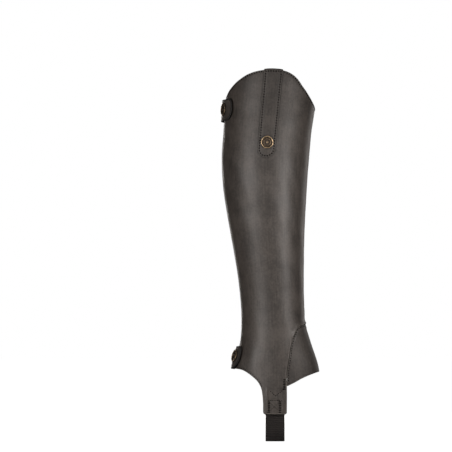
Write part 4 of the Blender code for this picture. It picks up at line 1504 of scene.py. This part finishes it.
# %% Sizes of the strap
STRAP_THICKNESS = 1.4
STRAP_LIFT = 0.3
STRAP_TOP_X = 11.6
STRAP_STUD_X = 2.2
STRAP_STUD_LEVEL = 18.0
STRAP_TOP_HALF = 13.6
STRAP_LOW_HALF = 12.7
STRAP_END = -4.4
STRAP_INSIDE = 7.0
STRAP_ROW = 2.6
STRAP_TOP_ROW = 2.1
STRAP_UP = TOP_PEAK - STRAP_END
FOLD_RISES = (1.65, 0.65)
FOLD_MIDDLE = -WALL / 2
FOLD_RADIUS = STRAP_LIFT - FOLD_MIDDLE + STRAP_THICKNESS
FOLD_LENGTH = pi * FOLD_RADIUS
STRAP_END_TURNS = np.linspace(-pi, 0.0, 25)
STRAP_CROWN = 0.25
STRAP_SOFT = 0.5
STRAP_WAVES = (1.0, 0.7)


def strap_end(half):
    """The half-round end of the strap, or of a line this far from its middle."""
    return np.column_stack((half * np.cos(STRAP_END_TURNS), STRAP_LOW_HALF + half * np.sin(STRAP_END_TURNS)))


stitch_half = STRAP_LOW_HALF - STRAP_ROW
stitch_top = STRAP_UP - STRAP_TOP_ROW
strap_stitch_line = np.vstack((((-stitch_half, stitch_top),), strap_end(stitch_half),
                               ((stitch_half, stitch_top), (-stitch_half, stitch_top))))
strap_length = STRAP_UP + FOLD_LENGTH + STRAP_INSIDE
strap_outline = np.vstack((strap_end(STRAP_LOW_HALF),
                           ((STRAP_LOW_HALF, strap_length), (-STRAP_LOW_HALF, strap_length))))
print("the strap is cut", round(strap_length), "mm long")

# %% [markdown]
# ## Placing the strap
#
# The strap's middle leans back a little as it goes down. Up to the fold a point's distance along
# the strap becomes a level, in the fold a turn, and past it a drop inside the leg.

# %% Place the strap
def strap_angle(share, levels):
    """The angles of places on the strap. Share runs from -1 at its back edge to 1."""
    rise = (levels - STRAP_STUD_LEVEL) / (TOP_PEAK - STRAP_STUD_LEVEL)
    middle = STRAP_STUD_X + rise * (STRAP_TOP_X - STRAP_STUD_X)
    half = STRAP_LOW_HALF + np.maximum(0.0, rise) * (STRAP_TOP_HALF - STRAP_LOW_HALF)
    return angle_at_x(middle + share * half, levels)


def strap_relief(points):
    """The groove of its stitches, the crown along its middle, and soft swells."""
    lift = folded(points, pressed([strap_stitch_line], STITCH_GROOVE))
    crown = STRAP_CROWN * (1 - (points[:, 0] / STRAP_LOW_HALF) ** 2)
    return lift + np.where(points[:, 1] > 0, crown, 0.0) + STRAP_SOFT * softness(points * STRAP_WAVES)


def strap_place(points, depths):
    """Points of (across, along) on the strap, from its round end over the fold."""
    share, along = points[:, 0] / STRAP_LOW_HALF, points[:, 1]
    relief = strap_relief(points) * (1 - np.clip(depths / STRAP_THICKNESS, 0.0, 1.0))
    height = STRAP_THICKNESS + relief - depths
    start = STRAP_END + STRAP_LOW_HALF
    climb = (along - STRAP_LOW_HALF) / (STRAP_UP - STRAP_LOW_HALF)
    guess = STRAP_END + np.clip(along, 0.0, STRAP_UP)
    drop = np.maximum(0.0, along - STRAP_UP - FOLD_LENGTH)
    angles = strap_angle(share, np.where(drop > 0, TOP_PEAK - drop, guess))
    top = level_on(TOP_EDGE, angles) - STRAP_LIFT
    levels = np.where(climb > 0, start + np.minimum(climb, 1.0) * (top - start), STRAP_END + along)
    lifts = STRAP_LIFT + height
    turn = np.pi * np.clip((along - STRAP_UP) / FOLD_LENGTH, 0.0, 1.0)
    radius = FOLD_RADIUS - STRAP_THICKNESS + height
    rise = FOLD_RISES[1] + (FOLD_RISES[0] - FOLD_RISES[1]) * height / STRAP_THICKNESS
    over = along > STRAP_UP
    levels = np.where(over, top + rise * np.sin(turn) - drop, levels)
    lifts = np.where(over, FOLD_MIDDLE + radius * np.cos(turn), lifts)
    return lifted(angles, levels, lifts)


top_strap = cut_panel("side_strap", strap_outline, strap_place, STRAP_THICKNESS, strap_leather,
                      step=1.8, guides=[strap_stitch_line], seams=[strap_stitch_line])
finished(top_strap, "leather", "top_strap")

# %% [markdown]
# ## The facings
#
# A strip of leather faces the inside of the top edge on both sides of the strap, with its grain
# to the leg. Its colour is painted lighter than the leg's leather, a painted light for the dim
# light inside the edge. It hides the lining's raw edge. It is cut between two lines beside the
# top edge, so it keeps its width all the way.

# %% Cut the facings
FACING_LIFT = -2.2
FACING_THICKNESS = 1.2
FACING_GAP = 1.2
TOP_CLEARANCE = 0.6


def facing(name, first, last, node):
    """A strip inside the top edge between two angles."""
    outline = np.vstack((cut_at(beside(outer_top_line, TOP_CLEARANCE), first, last),
                         cut_at(beside(outer_top_line, FACING_WIDTH), first, last)[::-1]))
    piece = cut_panel(name, outline, on_leg(FACING_LIFT, FACING_THICKNESS, soft=0.5),
                      FACING_THICKNESS, facing_leather_painted_lighter, step=1.8, grain_inside=True)
    return finished(piece, "leather", node)


zip_side = float(angle_across(BESIDE_TAPE, TOP_EDGE[0][1])[0])
strap_back, strap_front = (float(strap_angle(share, np.array((TOP_PEAK,)))[0]) for share in (-1, 1))
back_facing = facing("facing_strip_back", zip_side, strap_back - FACING_GAP, "top_facing_back")
front_facing = facing("facing_strip_front", strap_front + FACING_GAP, FACING_END, "top_facing_front")

# %% [markdown]
# ## The zip
#
# The zip runs up the back between the two edges: a woven tape that lies under them, and a
# closed coil of nylon in the slot. The tape is a long narrow panel. A real coil is a spiral
# wire, too fine to model for a whole zip. So it is a run of small beads, every other one set to
# the other side.

# %% Tape and coil
ZIP_TOP = 76.5
ZIP_BOTTOM = -303.0
TAPE_LIFT = -2.3
TAPE_THICKNESS = 0.7
COIL_LIFT = -0.9
COIL_CLEAR = 1.5
COIL_BEAD = Bead(1.3, 1.25, 3.5, 2.5, 0.85, 0.0)


def beside_zip(lift):
    """A way to place points of (across, level) round the back, at a lift."""
    def place(points, depths):
        return lifted(angle_across(points[:, 0], points[:, 1]), points[:, 1], lift - depths)
    return place


tape_outline = np.array(((-ZIP_TAPE_HALF, ZIP_BOTTOM), (ZIP_TAPE_HALF, ZIP_BOTTOM),
                         (ZIP_TAPE_HALF, ZIP_TOP), (-ZIP_TAPE_HALF, ZIP_TOP)))
zip_tape = cut_panel("zip_tape_weave", tape_outline, beside_zip(TAPE_LIFT), TAPE_THICKNESS, zip_cloth,
                     step=3.2)
finished(zip_tape, "zip", "zip_tape")
coil_line = ((0.0, ZIP_BOTTOM + COIL_CLEAR), (0.0, ZIP_TOP - COIL_CLEAR))
coil_run = laid_on(beside_zip(COIL_LIFT), coil_line, 0.0, step=3.0)
zip_coil = repeated("zip_coil", thread_run, [coil_run], COIL_BEAD, coil_nylon)
finished(zip_coil, "zip")

# %% [markdown]
# ## The snap tabs
#
# Two tabs cross the zip and keep it shut. The top one is sewn on the suede, bends out over
# the zip and snaps on the leather, and it keeps soft folds from being bent open. The bottom one
# comes out of the zip's slot at the heel. A tab drawn as a solid in the air wouldn't follow the
# leg. So the curve of its inner face is a few rows of distance from the zip and lift, and its
# flat shape is bent along it.

# %% Sizes of the tabs
TAB_THICKNESS = 1.6
TAB_HALF_HEIGHT = 15.7
TAB_UPPER_ROUND = 8.0
TAB_LOWER_ROUND = 14.0
TAB_RISE = 0.07
TAB_END_FULLNESS = 0.8
TAB_END_TURNS = np.radians(np.linspace(-85.0, 85.0, 23))
TAB_SQUARE_TURNS = np.radians(np.linspace(-90.0, 90.0, 9))
TAB_SOFT = 0.175
TAB_WAVES = 1.7
TAB_BENDS = ((5.5, -0.28), (10.0, 0.30), (14.5, -0.30), (19.5, 0.28))
TAB_BEND_WIDTH = 1.7
TAB_BEND_SLANT = 1.2
Tab = namedtuple("Tab", "level rows rounded_start bends")
TOP_TAB = Tab(62.8, ((-44, 0.1), (-30, 0.1), (-18, 0.5), (-8, 2.2), (0, 2.9), (15, 2.6),
                     (35.5, 3.2)), True, TAB_BENDS)
BOTTOM_TAB = Tab(-292.8, ((-3.4, -1.8), (-3.3, 0.2), (-1.9, 1.7), (3, 2.5), (11, 2.6),
                          (23.5, 3.1)), False, ())


def tab_bends(tab):
    """The soft folds across a tab where it was bent open, as lines on its flat shape."""
    half = TAB_HALF_HEIGHT
    return [Fold(np.array(((along + TAB_BEND_SLANT, -half), (along, 0.0), (along + TAB_BEND_SLANT, half))),
                 lift, TAB_BEND_WIDTH) for along, lift in tab.bends]


def tab_outline(tab):
    """The flat shape: round ends, fuller below, and a square start where the tab is sewn in."""
    length = run_lengths(tab.rows)[-1]
    points = []
    for end, way, rounded in ((0.0, 1, tab.rounded_start), (length, -1, True)):
        for turn in TAB_END_TURNS if rounded else TAB_SQUARE_TURNS:
            share = -way * sin(turn)
            most = TAB_UPPER_ROUND if share > 0 else TAB_LOWER_ROUND
            inset = most * (1 - abs(cos(turn)) ** TAB_END_FULLNESS) if rounded else 0.0
            points.append((end + way * inset, share * TAB_HALF_HEIGHT))
    return np.array(points)


print("the top tab is", round(run_lengths(TOP_TAB.rows)[-1]), "mm long")

# %% [markdown]
# ## Bending the tabs
#
# A point of the tab stands on the curve through the rows, as far along as on the flat tab and as
# far out as it is in the leather. The tab rises a little towards its snap.

# %% Cut the tabs
TAB_PROBE = 0.05


def tab_place(tab):
    """A way to bend flat points of (along, up) into this tab."""
    inner_face = smooth_curve(run_lengths(tab.rows), tab.rows)

    def place(points, depths):
        here = inner_face(points[:, 0])
        along = inner_face(points[:, 0] + TAB_PROBE) - here
        outward = np.column_stack((-along[:, 1], along[:, 0])) / np.hypot(*along.T)[:, None]
        worn = TAB_SOFT * softness(points * TAB_WAVES) + folded(points, tab_bends(tab))
        worn = worn * (1 - depths / TAB_THICKNESS)
        spot = here + (TAB_THICKNESS - depths + worn)[:, None] * outward
        heights = tab.level + points[:, 1] + TAB_RISE * spot[:, 0]
        return lifted(angle_across(spot[:, 0], heights), heights, spot[:, 1])
    return place


top_tab = cut_panel("zip_tab_top", tab_outline(TOP_TAB), tab_place(TOP_TAB), TAB_THICKNESS,
                    tab_leather, step=1.8, guides=[bend.line for bend in tab_bends(TOP_TAB)])
finished(top_tab, "leather", "top_tab")
bottom_tab = cut_panel("zip_tab_bottom", tab_outline(BOTTOM_TAB), tab_place(BOTTOM_TAB),
                       TAB_THICKNESS, tab_leather, step=1.6)
finished(bottom_tab, "leather", "bottom_tab")

# %% [markdown]
# ## Snap caps
#
# Each snap shows a round cap, pressed with a rim, a ring of small beads and a low rosette. A
# Screw modifier could turn a profile, but it makes a plain round surface. Turned in code, the
# same profile takes a ripple for the rosette, and each point keeps its relative height.

# %% A turned piece
def axes_at(angle, level):
    """The way out of the leather at a place, and two ways across it."""
    out = Vector(skin_normals(np.array((angle,)), np.array((level,)))[0])
    right = out.orthogonal().normalized()
    return out, right, out.cross(right)


def turned(name, profile, foot, axes, sides, finish, ripple=None):
    """A profile of (radius, height) turned about the way out, starting at the foot."""
    out, right, ahead = axes
    heights = [height for _, height in profile]
    low, high = min(heights), max(heights)
    rings, points, values = [], [], []
    for radius, height in profile:
        spins = np.linspace(0, 2 * pi, sides, endpoint=False) if radius > 0 else np.zeros(1)
        rings.append(range(len(points), len(points) + len(spins)))
        for spin in spins:
            rise = height + (ripple(radius, spin) if ripple else 0.0)
            points.append(foot + out * rise + radius * (cos(spin) * right + sin(spin) * ahead))
            values.append((rise - low) / (high - low))
    faces = []
    for inner, outer in zip(rings, rings[1:]):
        for k in range(sides):
            corners = (inner[k % len(inner)], inner[(k + 1) % len(inner)],
                       outer[(k + 1) % len(outer)], outer[k % len(outer)])
            faces.append(tuple(dict.fromkeys(corners)))
    return mesh_object(name, [tuple(p) for p in points], faces, finish, height=values)


print("out of the leather at the shin:", tuple(round(x, 2) for x in axes_at(SHIN_ANGLE, 0.0)[0]))

# %% [markdown]
# ## Cap and beads
#
# The profile goes out to the edge, over the rim, through the hollow with the ring of beads, and
# up to the rosette. The beads are one more run of the tree, and get the same kind of height.

# %% Pressed caps
CAP_SIDES = 96
CAP_PROFILE = (
    (0, 0), (8.2, 0), (8.8, 0.2), (9.15, 0.6), (9.2, 1), (9.05, 1.4), (8.7, 1.68), (8.3, 1.78),
    (7.9, 1.74), (7.55, 1.52), (7.35, 1.2), (7.1, 0.98), (5.5, 0.95), (5.25, 1.1), (5.1, 1.36),
    (4.85, 1.48), (4.6, 1.42), (4.4, 1.16), (4.1, 1.02), (3.3, 1.06), (2.5, 1.12), (2, 1.2),
    (1.6, 1.38), (1, 1.5), (0, 1.54),
)
CAP_HEIGHT = max(height for _, height in CAP_PROFILE)
PETALS = 12
PETAL_FROM = 2.3
PETAL_TO = 4.3
PETAL_MM = 0.22
BEADS = 26
BEAD_RING = 6.3
BEAD_MM = 1.15
BEAD_FOOT = 1.0
STEPS_PER_BEAD = 8


def petals(radius, spin):
    """The rosette's ripple at a place of the cap."""
    if not PETAL_FROM < radius < PETAL_TO:
        return 0.0
    fade = sin(pi * (radius - PETAL_FROM) / (PETAL_TO - PETAL_FROM))
    return PETAL_MM * fade * cos(PETALS * spin)


def keep_height(piece, foot, out):
    """The piece's relative height above the cap's foot, for the finish."""
    places = np.empty(len(piece.data.vertices) * 3, np.float32)
    piece.data.vertices.foreach_get("co", places)
    rise = (places.reshape(-1, 3) / MM - np.array(foot)) @ np.array(out)
    kept = piece.data.attributes.new("height", "FLOAT", "POINT")
    kept.data.foreach_set("value", (rise / CAP_HEIGHT).astype(np.float32))


def snap_cap(name, angle, level, lift, node):
    """A cap with its ring of beads, at this place and lift."""
    foot = Vector(lifted(angle, level, lift)[0])
    axes = axes_at(angle, level)
    finished(turned(name, CAP_PROFILE, foot, axes, CAP_SIDES, antique_brass, petals), "antique_metal", node)
    out, right, ahead = axes
    spins = np.linspace(0, 2 * pi, STEPS_PER_BEAD * BEADS + 1)
    ring = [foot + out * BEAD_FOOT + BEAD_RING * (cos(s) * right + sin(s) * ahead) for s in spins]
    run = Run(np.array([tuple(p) for p in ring]), np.tile(tuple(out), (len(ring), 1)))
    bead = Bead(2 * pi * BEAD_RING / BEADS, BEAD_MM, BEAD_MM, 1.0, 0.0, 0.0)
    beads = repeated(name + "_beads", thread_run, [run], bead, antique_brass)
    keep_height(beads, foot, out)
    finished(beads, "antique_metal")


stud_angle = float(strap_angle(0.0, np.array((STRAP_STUD_LEVEL,)))[0])
snap_cap("strap_cap_pressed", stud_angle, STRAP_STUD_LEVEL, STRAP_LIFT + STRAP_THICKNESS + SEAM_GAP,
         "strap_cap")

# %% [markdown]
# ## The tabs' snaps
#
# A snap has a cap through the tab and a socket on the leg. With the tab shut little shows of the
# socket, so a plain turned ring is enough for it.

# %% Snaps on the tabs
SOCKET_SIDES = 40
SOCKET_NECK = 4.0
SOCKET_PROFILE = ((0.0, 0.0), (5.4, 0.0), (5.4, 0.35), (4.3, 0.55), (SOCKET_NECK, 0.8))
SOCKET_SLACK = 0.35
Snap = namedtuple("Snap", "name tab level across")
SNAPS = (Snap("top_snap", TOP_TAB, 65.0, 15.3), Snap("bottom_snap", BOTTOM_TAB, -290.5, 10.9))

for snap in SNAPS:
    angle = float(angle_across(snap.across, snap.level)[0])
    inner = float(np.interp(snap.across, *zip(*snap.tab.rows)))
    snap_cap(snap.name + "_cap_pressed", angle, snap.level, inner + TAB_THICKNESS + SEAM_GAP,
             snap.name + "_cap")
    height = inner - 2 * SEAM_GAP - SOCKET_SLACK
    profile = SOCKET_PROFILE + ((SOCKET_NECK, height), (0.0, height))
    foot = Vector(lifted(angle, snap.level, SEAM_GAP)[0])
    socket = turned(snap.name + "_socket_turned", profile, foot, axes_at(angle, snap.level),
                    SOCKET_SIDES, dark_brass)
    finished(socket, "antique_metal", snap.name + "_socket")
    print(f"{snap.name}: the tab's inner face is {inner:.1f} mm above the leg")

# %% [markdown]
# ## Slider and pull
#
# The slider and its pull lie under the top tab, so little of them shows. The slider's solid
# already has the right shape and only takes the metal finish. The pull is cut again from its
# outline, like a panel, with rounded edges and a waist.

# %% Slider and pull
PULL_LIFT = 2.1
PULL_THICKNESS = 1.2
PULL_HALF = ((1.9, 49), (2.7, 50.4), (2.6, 54), (1.7, 58), (1.7, 61), (2.2, 62.8), (1.6, 63.6))
pull_outline = np.array(PULL_HALF + tuple((-across, level) for across, level in PULL_HALF[::-1]))
zip_pull = cut_panel("zip_pull_bar", pull_outline, beside_zip(PULL_LIFT), PULL_THICKNESS, dark_brass,
                     step=0.9)
finished(zip_pull, "antique_metal", "zip_pull")
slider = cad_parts["zip_slider"]
slider.data.materials.clear()
slider.data.materials.append(dark_brass)
print("slider faces:", len(slider.data.polygons))

# %% [markdown]
# ## The elastic
#
# A wide elastic runs down from one tongue, under the boot and up to the other, with fine ribs
# across its width. A bump could draw them, but they show along its edge. So a thin core carries
# the weave, and one more run of bars across it makes the ribs.

# %% Sizes of the elastic
ELASTIC_X = 13.8
ELASTIC_HALF = 13.7
ELASTIC_THICKNESS = 1.6
ELASTIC_Y = 36.8
ELASTIC_TOP = -354.0
ELASTIC_BOTTOM = -412.7
ELASTIC_CORNER = 22.0
CORE_DEPTH = 0.4
RIB_PITCH = 2.9
RIB_LENGTH = 2.1
ELASTIC_SIDE = ELASTIC_TOP - (ELASTIC_BOTTOM + ELASTIC_CORNER)
ELASTIC_BEND = pi / 2 * ELASTIC_CORNER
ELASTIC_FLOOR = 2 * (ELASTIC_Y - ELASTIC_CORNER)
ELASTIC_LENGTH = 2 * (ELASTIC_SIDE + ELASTIC_BEND) + ELASTIC_FLOOR


def elastic_place(points, depths):
    """Points of (across, along) on the U, their depth measured from its outer face."""
    along = points[:, 1]
    half = np.minimum(along, ELASTIC_LENGTH - along)
    turn = np.clip((half - ELASTIC_SIDE) / ELASTIC_CORNER, 0.0, pi / 2)
    flat_run = np.maximum(0.0, half - ELASTIC_SIDE - ELASTIC_BEND)
    radius = ELASTIC_CORNER - depths
    y = ELASTIC_Y - ELASTIC_CORNER - flat_run + radius * np.cos(turn)
    z = ELASTIC_TOP - np.minimum(half, ELASTIC_SIDE) - radius * np.sin(turn)
    side = np.where(along < ELASTIC_LENGTH / 2, -1.0, 1.0)
    return np.column_stack((ELASTIC_X + points[:, 0], side * y, z))


def core_place(points, depths):
    return elastic_place(points, depths + CORE_DEPTH)


print("the elastic is", round(ELASTIC_LENGTH), "mm long")

# %% [markdown]
# ## Core and ribs
#
# The core is a panel like the others, a little narrower than the ribs, and the ribs are round
# bars flattened to the elastic's thickness.

# %% Cut the elastic
CORE_WIDTH_SHARE = 0.985
RIB_LINE_POINTS = 200
RIB_LINE_CLEAR = 1.0
RIB_BEAD = Bead(RIB_PITCH, RIB_LENGTH, 2 * ELASTIC_HALF, ELASTIC_THICKNESS, 0.0, 0.0)
core_outline = np.array(((-ELASTIC_HALF, 0.0), (ELASTIC_HALF, 0.0), (ELASTIC_HALF, ELASTIC_LENGTH),
                         (-ELASTIC_HALF, ELASTIC_LENGTH))) * (CORE_WIDTH_SHARE, 1.0)
elastic_core = cut_panel("elastic_core", core_outline, core_place, ELASTIC_THICKNESS - 2 * CORE_DEPTH,
                         elastic_cloth, step=2.6)
finished(elastic_core, "elastic", "stirrup_elastic")
along_ribs = np.linspace(RIB_LINE_CLEAR, ELASTIC_LENGTH - RIB_LINE_CLEAR, RIB_LINE_POINTS)
rib_line = np.column_stack((np.zeros(RIB_LINE_POINTS), along_ribs))
rib_points = elastic_place(rib_line, np.full(RIB_LINE_POINTS, ELASTIC_THICKNESS / 2))
rib_out = elastic_place(rib_line, np.zeros(RIB_LINE_POINTS)) - rib_points
elastic_ribs = repeated("elastic_ribs", bar_run, [Run(rib_points, unit_rows(rib_out))], RIB_BEAD, rib_cloth)
finished(elastic_ribs, "elastic")

# %% [markdown]
# ## The sewing
#
# Now that every panel has its place, the rows that were drawn on the pattern are sewn. The
# heavy dark thread shows as dots in the leather, the brown one is nearly the leather's own
# colour, and the suede's turned top has a bright row and a finer pale one.

# %% Stitches
SMALL_STITCH = Bead(2.5, 2.1, 0.62, 0.5)
HEAVY_STITCH = Bead(3.7, 2.0, 2.6, 1.0)
SEAM_STITCH = Bead(3.5, 1.8, 1.9, 0.7)
POINT_STITCH = Bead(2.9, 2.0, 1.4, 0.65)
PALE_STITCH = Bead(3.2, 2.0, 1.05, 0.65)
TACK_STITCH = Bead(2.2, 1.5, 5.2, 1.0, 0.5, 0.15)
THREAD_LIFT = 0.12


def sewn(name, place, lines, stitch, finish, slot="leather"):
    """Rows of one kind of stitch on one piece."""
    runs = [laid_on(place, line, THREAD_LIFT) for line in lines]
    return finished(repeated(name, thread_run, runs, stitch, finish), slot)


sewn("top_edge_stitches", leg_place, [top_row], HEAVY_STITCH, dark_thread)
sewn("zip_side_stitches", leg_place, [zip_row, inner_zip_row], SMALL_STITCH, brown_thread)
sewn("suede_seam_stitches", leg_place, [suede_row], SMALL_STITCH, brown_thread)
sewn("back_hem_stitches", leg_place, back_hem_rows, SEAM_STITCH, dark_thread)
sewn("gusset_stitches", gusset_place, valleys, SEAM_STITCH, dark_thread)
sewn("gusset_hem_stitches", gusset_place, gusset_hem_rows, SMALL_STITCH, brown_thread)
sewn("strap_stitches", strap_place, [strap_stitch_line], HEAVY_STITCH, dark_thread)

# %% [markdown]
# ## Sewing the tongues and the suede
#
# The tongues carry the pull of the elastic, so they have the most thread. The stitches of their
# bar tacks are wide and lie close together.

# %% Stitches on the tongues and the suede
sewn("tongue_point_stitches", leg_place, point_rows + box_rows, POINT_STITCH, dark_thread)
sewn("tongue_cross_stitches", leg_place, cross_rows, SMALL_STITCH, brown_thread)
sewn("tongue_tacks", leg_place, tack_rows + side_tack_rows, TACK_STITCH, dark_thread)
sewn("tongue_ridge_stitches", leg_place, ridge_rows, SMALL_STITCH, pale_thread)
sewn("suede_top_stitches", suede_place, hem_rows[:1], PALE_STITCH, hem_thread, "suede")
sewn("suede_hem_stitches", suede_place, hem_rows[1:], SMALL_STITCH, pale_thread, "suede")
sewn("placket_stitches", suede_place, placket_rows, SMALL_STITCH, brown_thread, "suede")
sewn("suede_zip_stitches", suede_place, [suede_zip_row], SMALL_STITCH, brown_thread, "suede")

# %% [markdown]
# ## What each sheet was cut to
#
# Each piece of leather and cloth has a flat size, as a maker would write it on the pattern: the
# width round the leg, the length up it, both in metres, and the area. The area is measured on the
# finished mesh, because its face and its back are nearly the same.

# %% Flat sizes
Cut = namedtuple("Cut", "piece width length held rests_on")
CUTS = (
    Cut(leather_leg, 0.330, 0.497, "draped", ["stirrup_elastic"]),
    Cut(suede_calf, 0.160, 0.367, "draped", ["leather_leg"]),
    Cut(front_gusset, 0.155, 0.090, "draped", ["leather_leg"]),
    Cut(lining, 0.345, 0.443, "draped", ["leather_leg"]),
    Cut(top_strap, 0.027, 0.142, "hung", ["leather_leg"]),
    Cut(top_tab, 0.080, 0.0314, "draped", ["suede_calf"]),
    Cut(bottom_tab, 0.030, 0.0314, "draped", ["zip_tape"]),
    Cut(zip_tape, 0.026, 0.380, "draped", ["leather_leg"]),
    Cut(elastic_core, 0.0274, 0.173, "stretched", ["leather_leg"]),
)


def flat_area(cut):
    """Half of a thin closed piece's surface, and no more than its box."""
    surface = sum(face.area for face in cut.piece.data.polygons)
    return min(surface / 2, cut.width * cut.length)


for cut in CUTS:
    print(f"{cut.piece.name}: {flat_area(cut):.4f} of {cut.width * cut.length:.4f} m2")

# %% [markdown]
# ## Camera
#
# The photograph was taken from the side, level with the middle of the chap, with a long lens
# from far off. A view without perspective would come close, but the little that is left makes
# the rims look round.

# %% Camera
CAMERA_AWAY = 14.48
CAMERA_X = -0.0569
CAMERA_Z = -0.1025
LENS = 800.0
SENSOR = 36.0
CLIP_END = 60.0

camera_data = bpy.data.cameras.new("camera")
camera_data.lens = LENS
camera_data.sensor_width = SENSOR
camera_data.clip_end = CLIP_END
camera = linked("camera", camera_data)
camera.location = (CAMERA_X, -CAMERA_AWAY, CAMERA_Z)
camera.rotation_euler = (pi / 2, 0.0, 0.0)
bpy.context.scene.camera = camera
bpy.context.scene.view_settings.view_transform = "Standard"
print("width of the view at the chap:", round(CAMERA_AWAY * SENSOR / LENS, 3), "m")

# %% [markdown]
# ## Lamps
#
# The leather shows two long highlights with a darker middle. A broad weak lamp in front and one
# above give the even light. A soft one at the front left makes the left highlight, and two
# small close ones at the front right the narrow right one. Three tall ones behind light the
# inner side.

# %% Lamps
LAMP_WARMTH = (1.0, 0.95, 0.915)
AIM = Vector((0.0, 0.0, -0.12))
Lamp = namedtuple("Lamp", "name turn away height width tall watts")
LAMPS = (
    Lamp("lamp_front", 4, 2.6, 0, 1.2, 0.9, 3.6),
    Lamp("lamp_front_left", -37, 1.1, 0.02, 0.50, 0.35, 6.3),
    Lamp("lamp_front_right", 47, 0.50, 0.01, 0.07, 0.20, 1.22),
    Lamp("lamp_top_right", 33, 0.50, 0.14, 0.07, 0.12, 0.26),
    Lamp("lamp_inner_left", -161, 2, 0, 0.40, 1.1, 9),
    Lamp("lamp_inner_right", 140, 2, 0, 0.40, 1.1, 4.5),
    Lamp("lamp_inner", 180, 2, 0, 0.80, 1.1, 12),
    Lamp("lamp_above", 10, 1.5, 1.8, 1.2, 1.2, 8),
)
for lamp in LAMPS:
    data = bpy.data.lights.new(lamp.name, "AREA")
    data.shape = "RECTANGLE"
    data.size = lamp.width
    data.size_y = lamp.tall
    data.energy = lamp.watts
    data.color = LAMP_WARMTH
    light = linked(lamp.name, data)
    turn = radians(lamp.turn)
    light.location = AIM + Vector((lamp.away * sin(turn), -lamp.away * cos(turn), lamp.height))
    light.rotation_euler = (AIM - light.location).to_track_quat("-Z", "Y").to_euler()
print("watts in all:", round(sum(lamp.watts for lamp in LAMPS), 1))

# %% [markdown]
# ## Backdrop and floor
#
# The photograph has a white ground. A white room would throw so much light that the dark
# leather turns grey. So only the camera sees white, in the sky and on the floor, a wide disc
# just below the elastic, and the leather gets light from a grey floor and a faint sky.

# %% Backdrop and floor
FILL = 0.020
WHITE = (1.0, 1.0, 1.0, 1.0)
FLOOR_GREY = (0.35, 0.35, 0.35, 1.0)
FLOOR_CLEAR = 0.0006
FLOOR_RADIUS = 9.0
FLOOR_SIDES = 96
world = bpy.data.worlds.new("studio")
world.use_nodes = True
sky = world.node_tree
sky.nodes.clear()
seen = add_node(sky, "ShaderNodeBackground", {"Color": WHITE, "Strength": 1.0})
soft = add_node(sky, "ShaderNodeBackground", {"Color": WHITE, "Strength": FILL})
which = add_node(sky, "ShaderNodeLightPath").outputs["Is Camera Ray"]
both = add_node(sky, "ShaderNodeMixShader", {0: which, 1: soft.outputs[0], 2: seen.outputs[0]})
add_node(sky, "ShaderNodeOutputWorld", {"Surface": both.outputs[0]})
bpy.context.scene.world = world

spins = np.linspace(0, 2 * pi, FLOOR_SIDES, endpoint=False)
floor_level = ELASTIC_BOTTOM * MM - FLOOR_CLEAR
floor_mesh = bpy.data.meshes.new("floor")
floor_mesh.from_pydata([(FLOOR_RADIUS * cos(s), FLOOR_RADIUS * sin(s), floor_level) for s in spins],
                       [], [tuple(range(FLOOR_SIDES))])
floor = linked("floor", floor_mesh)
floor_finish, floor_tree, floor_shader = blank_finish("pale_floor")
seen_floor = add_node(floor_tree, "ShaderNodeLightPath").outputs["Is Camera Ray"]
set_inputs(floor_tree, floor_shader, {"Base Color": FLOOR_GREY, "Roughness": 0.9, "Emission Color": WHITE,
                                      "Specular IOR Level": 0.1, "Emission Strength": seen_floor})
floor_mesh.materials.append(floor_finish)
print("the floor lies at", round(floor_level, 4), "m")
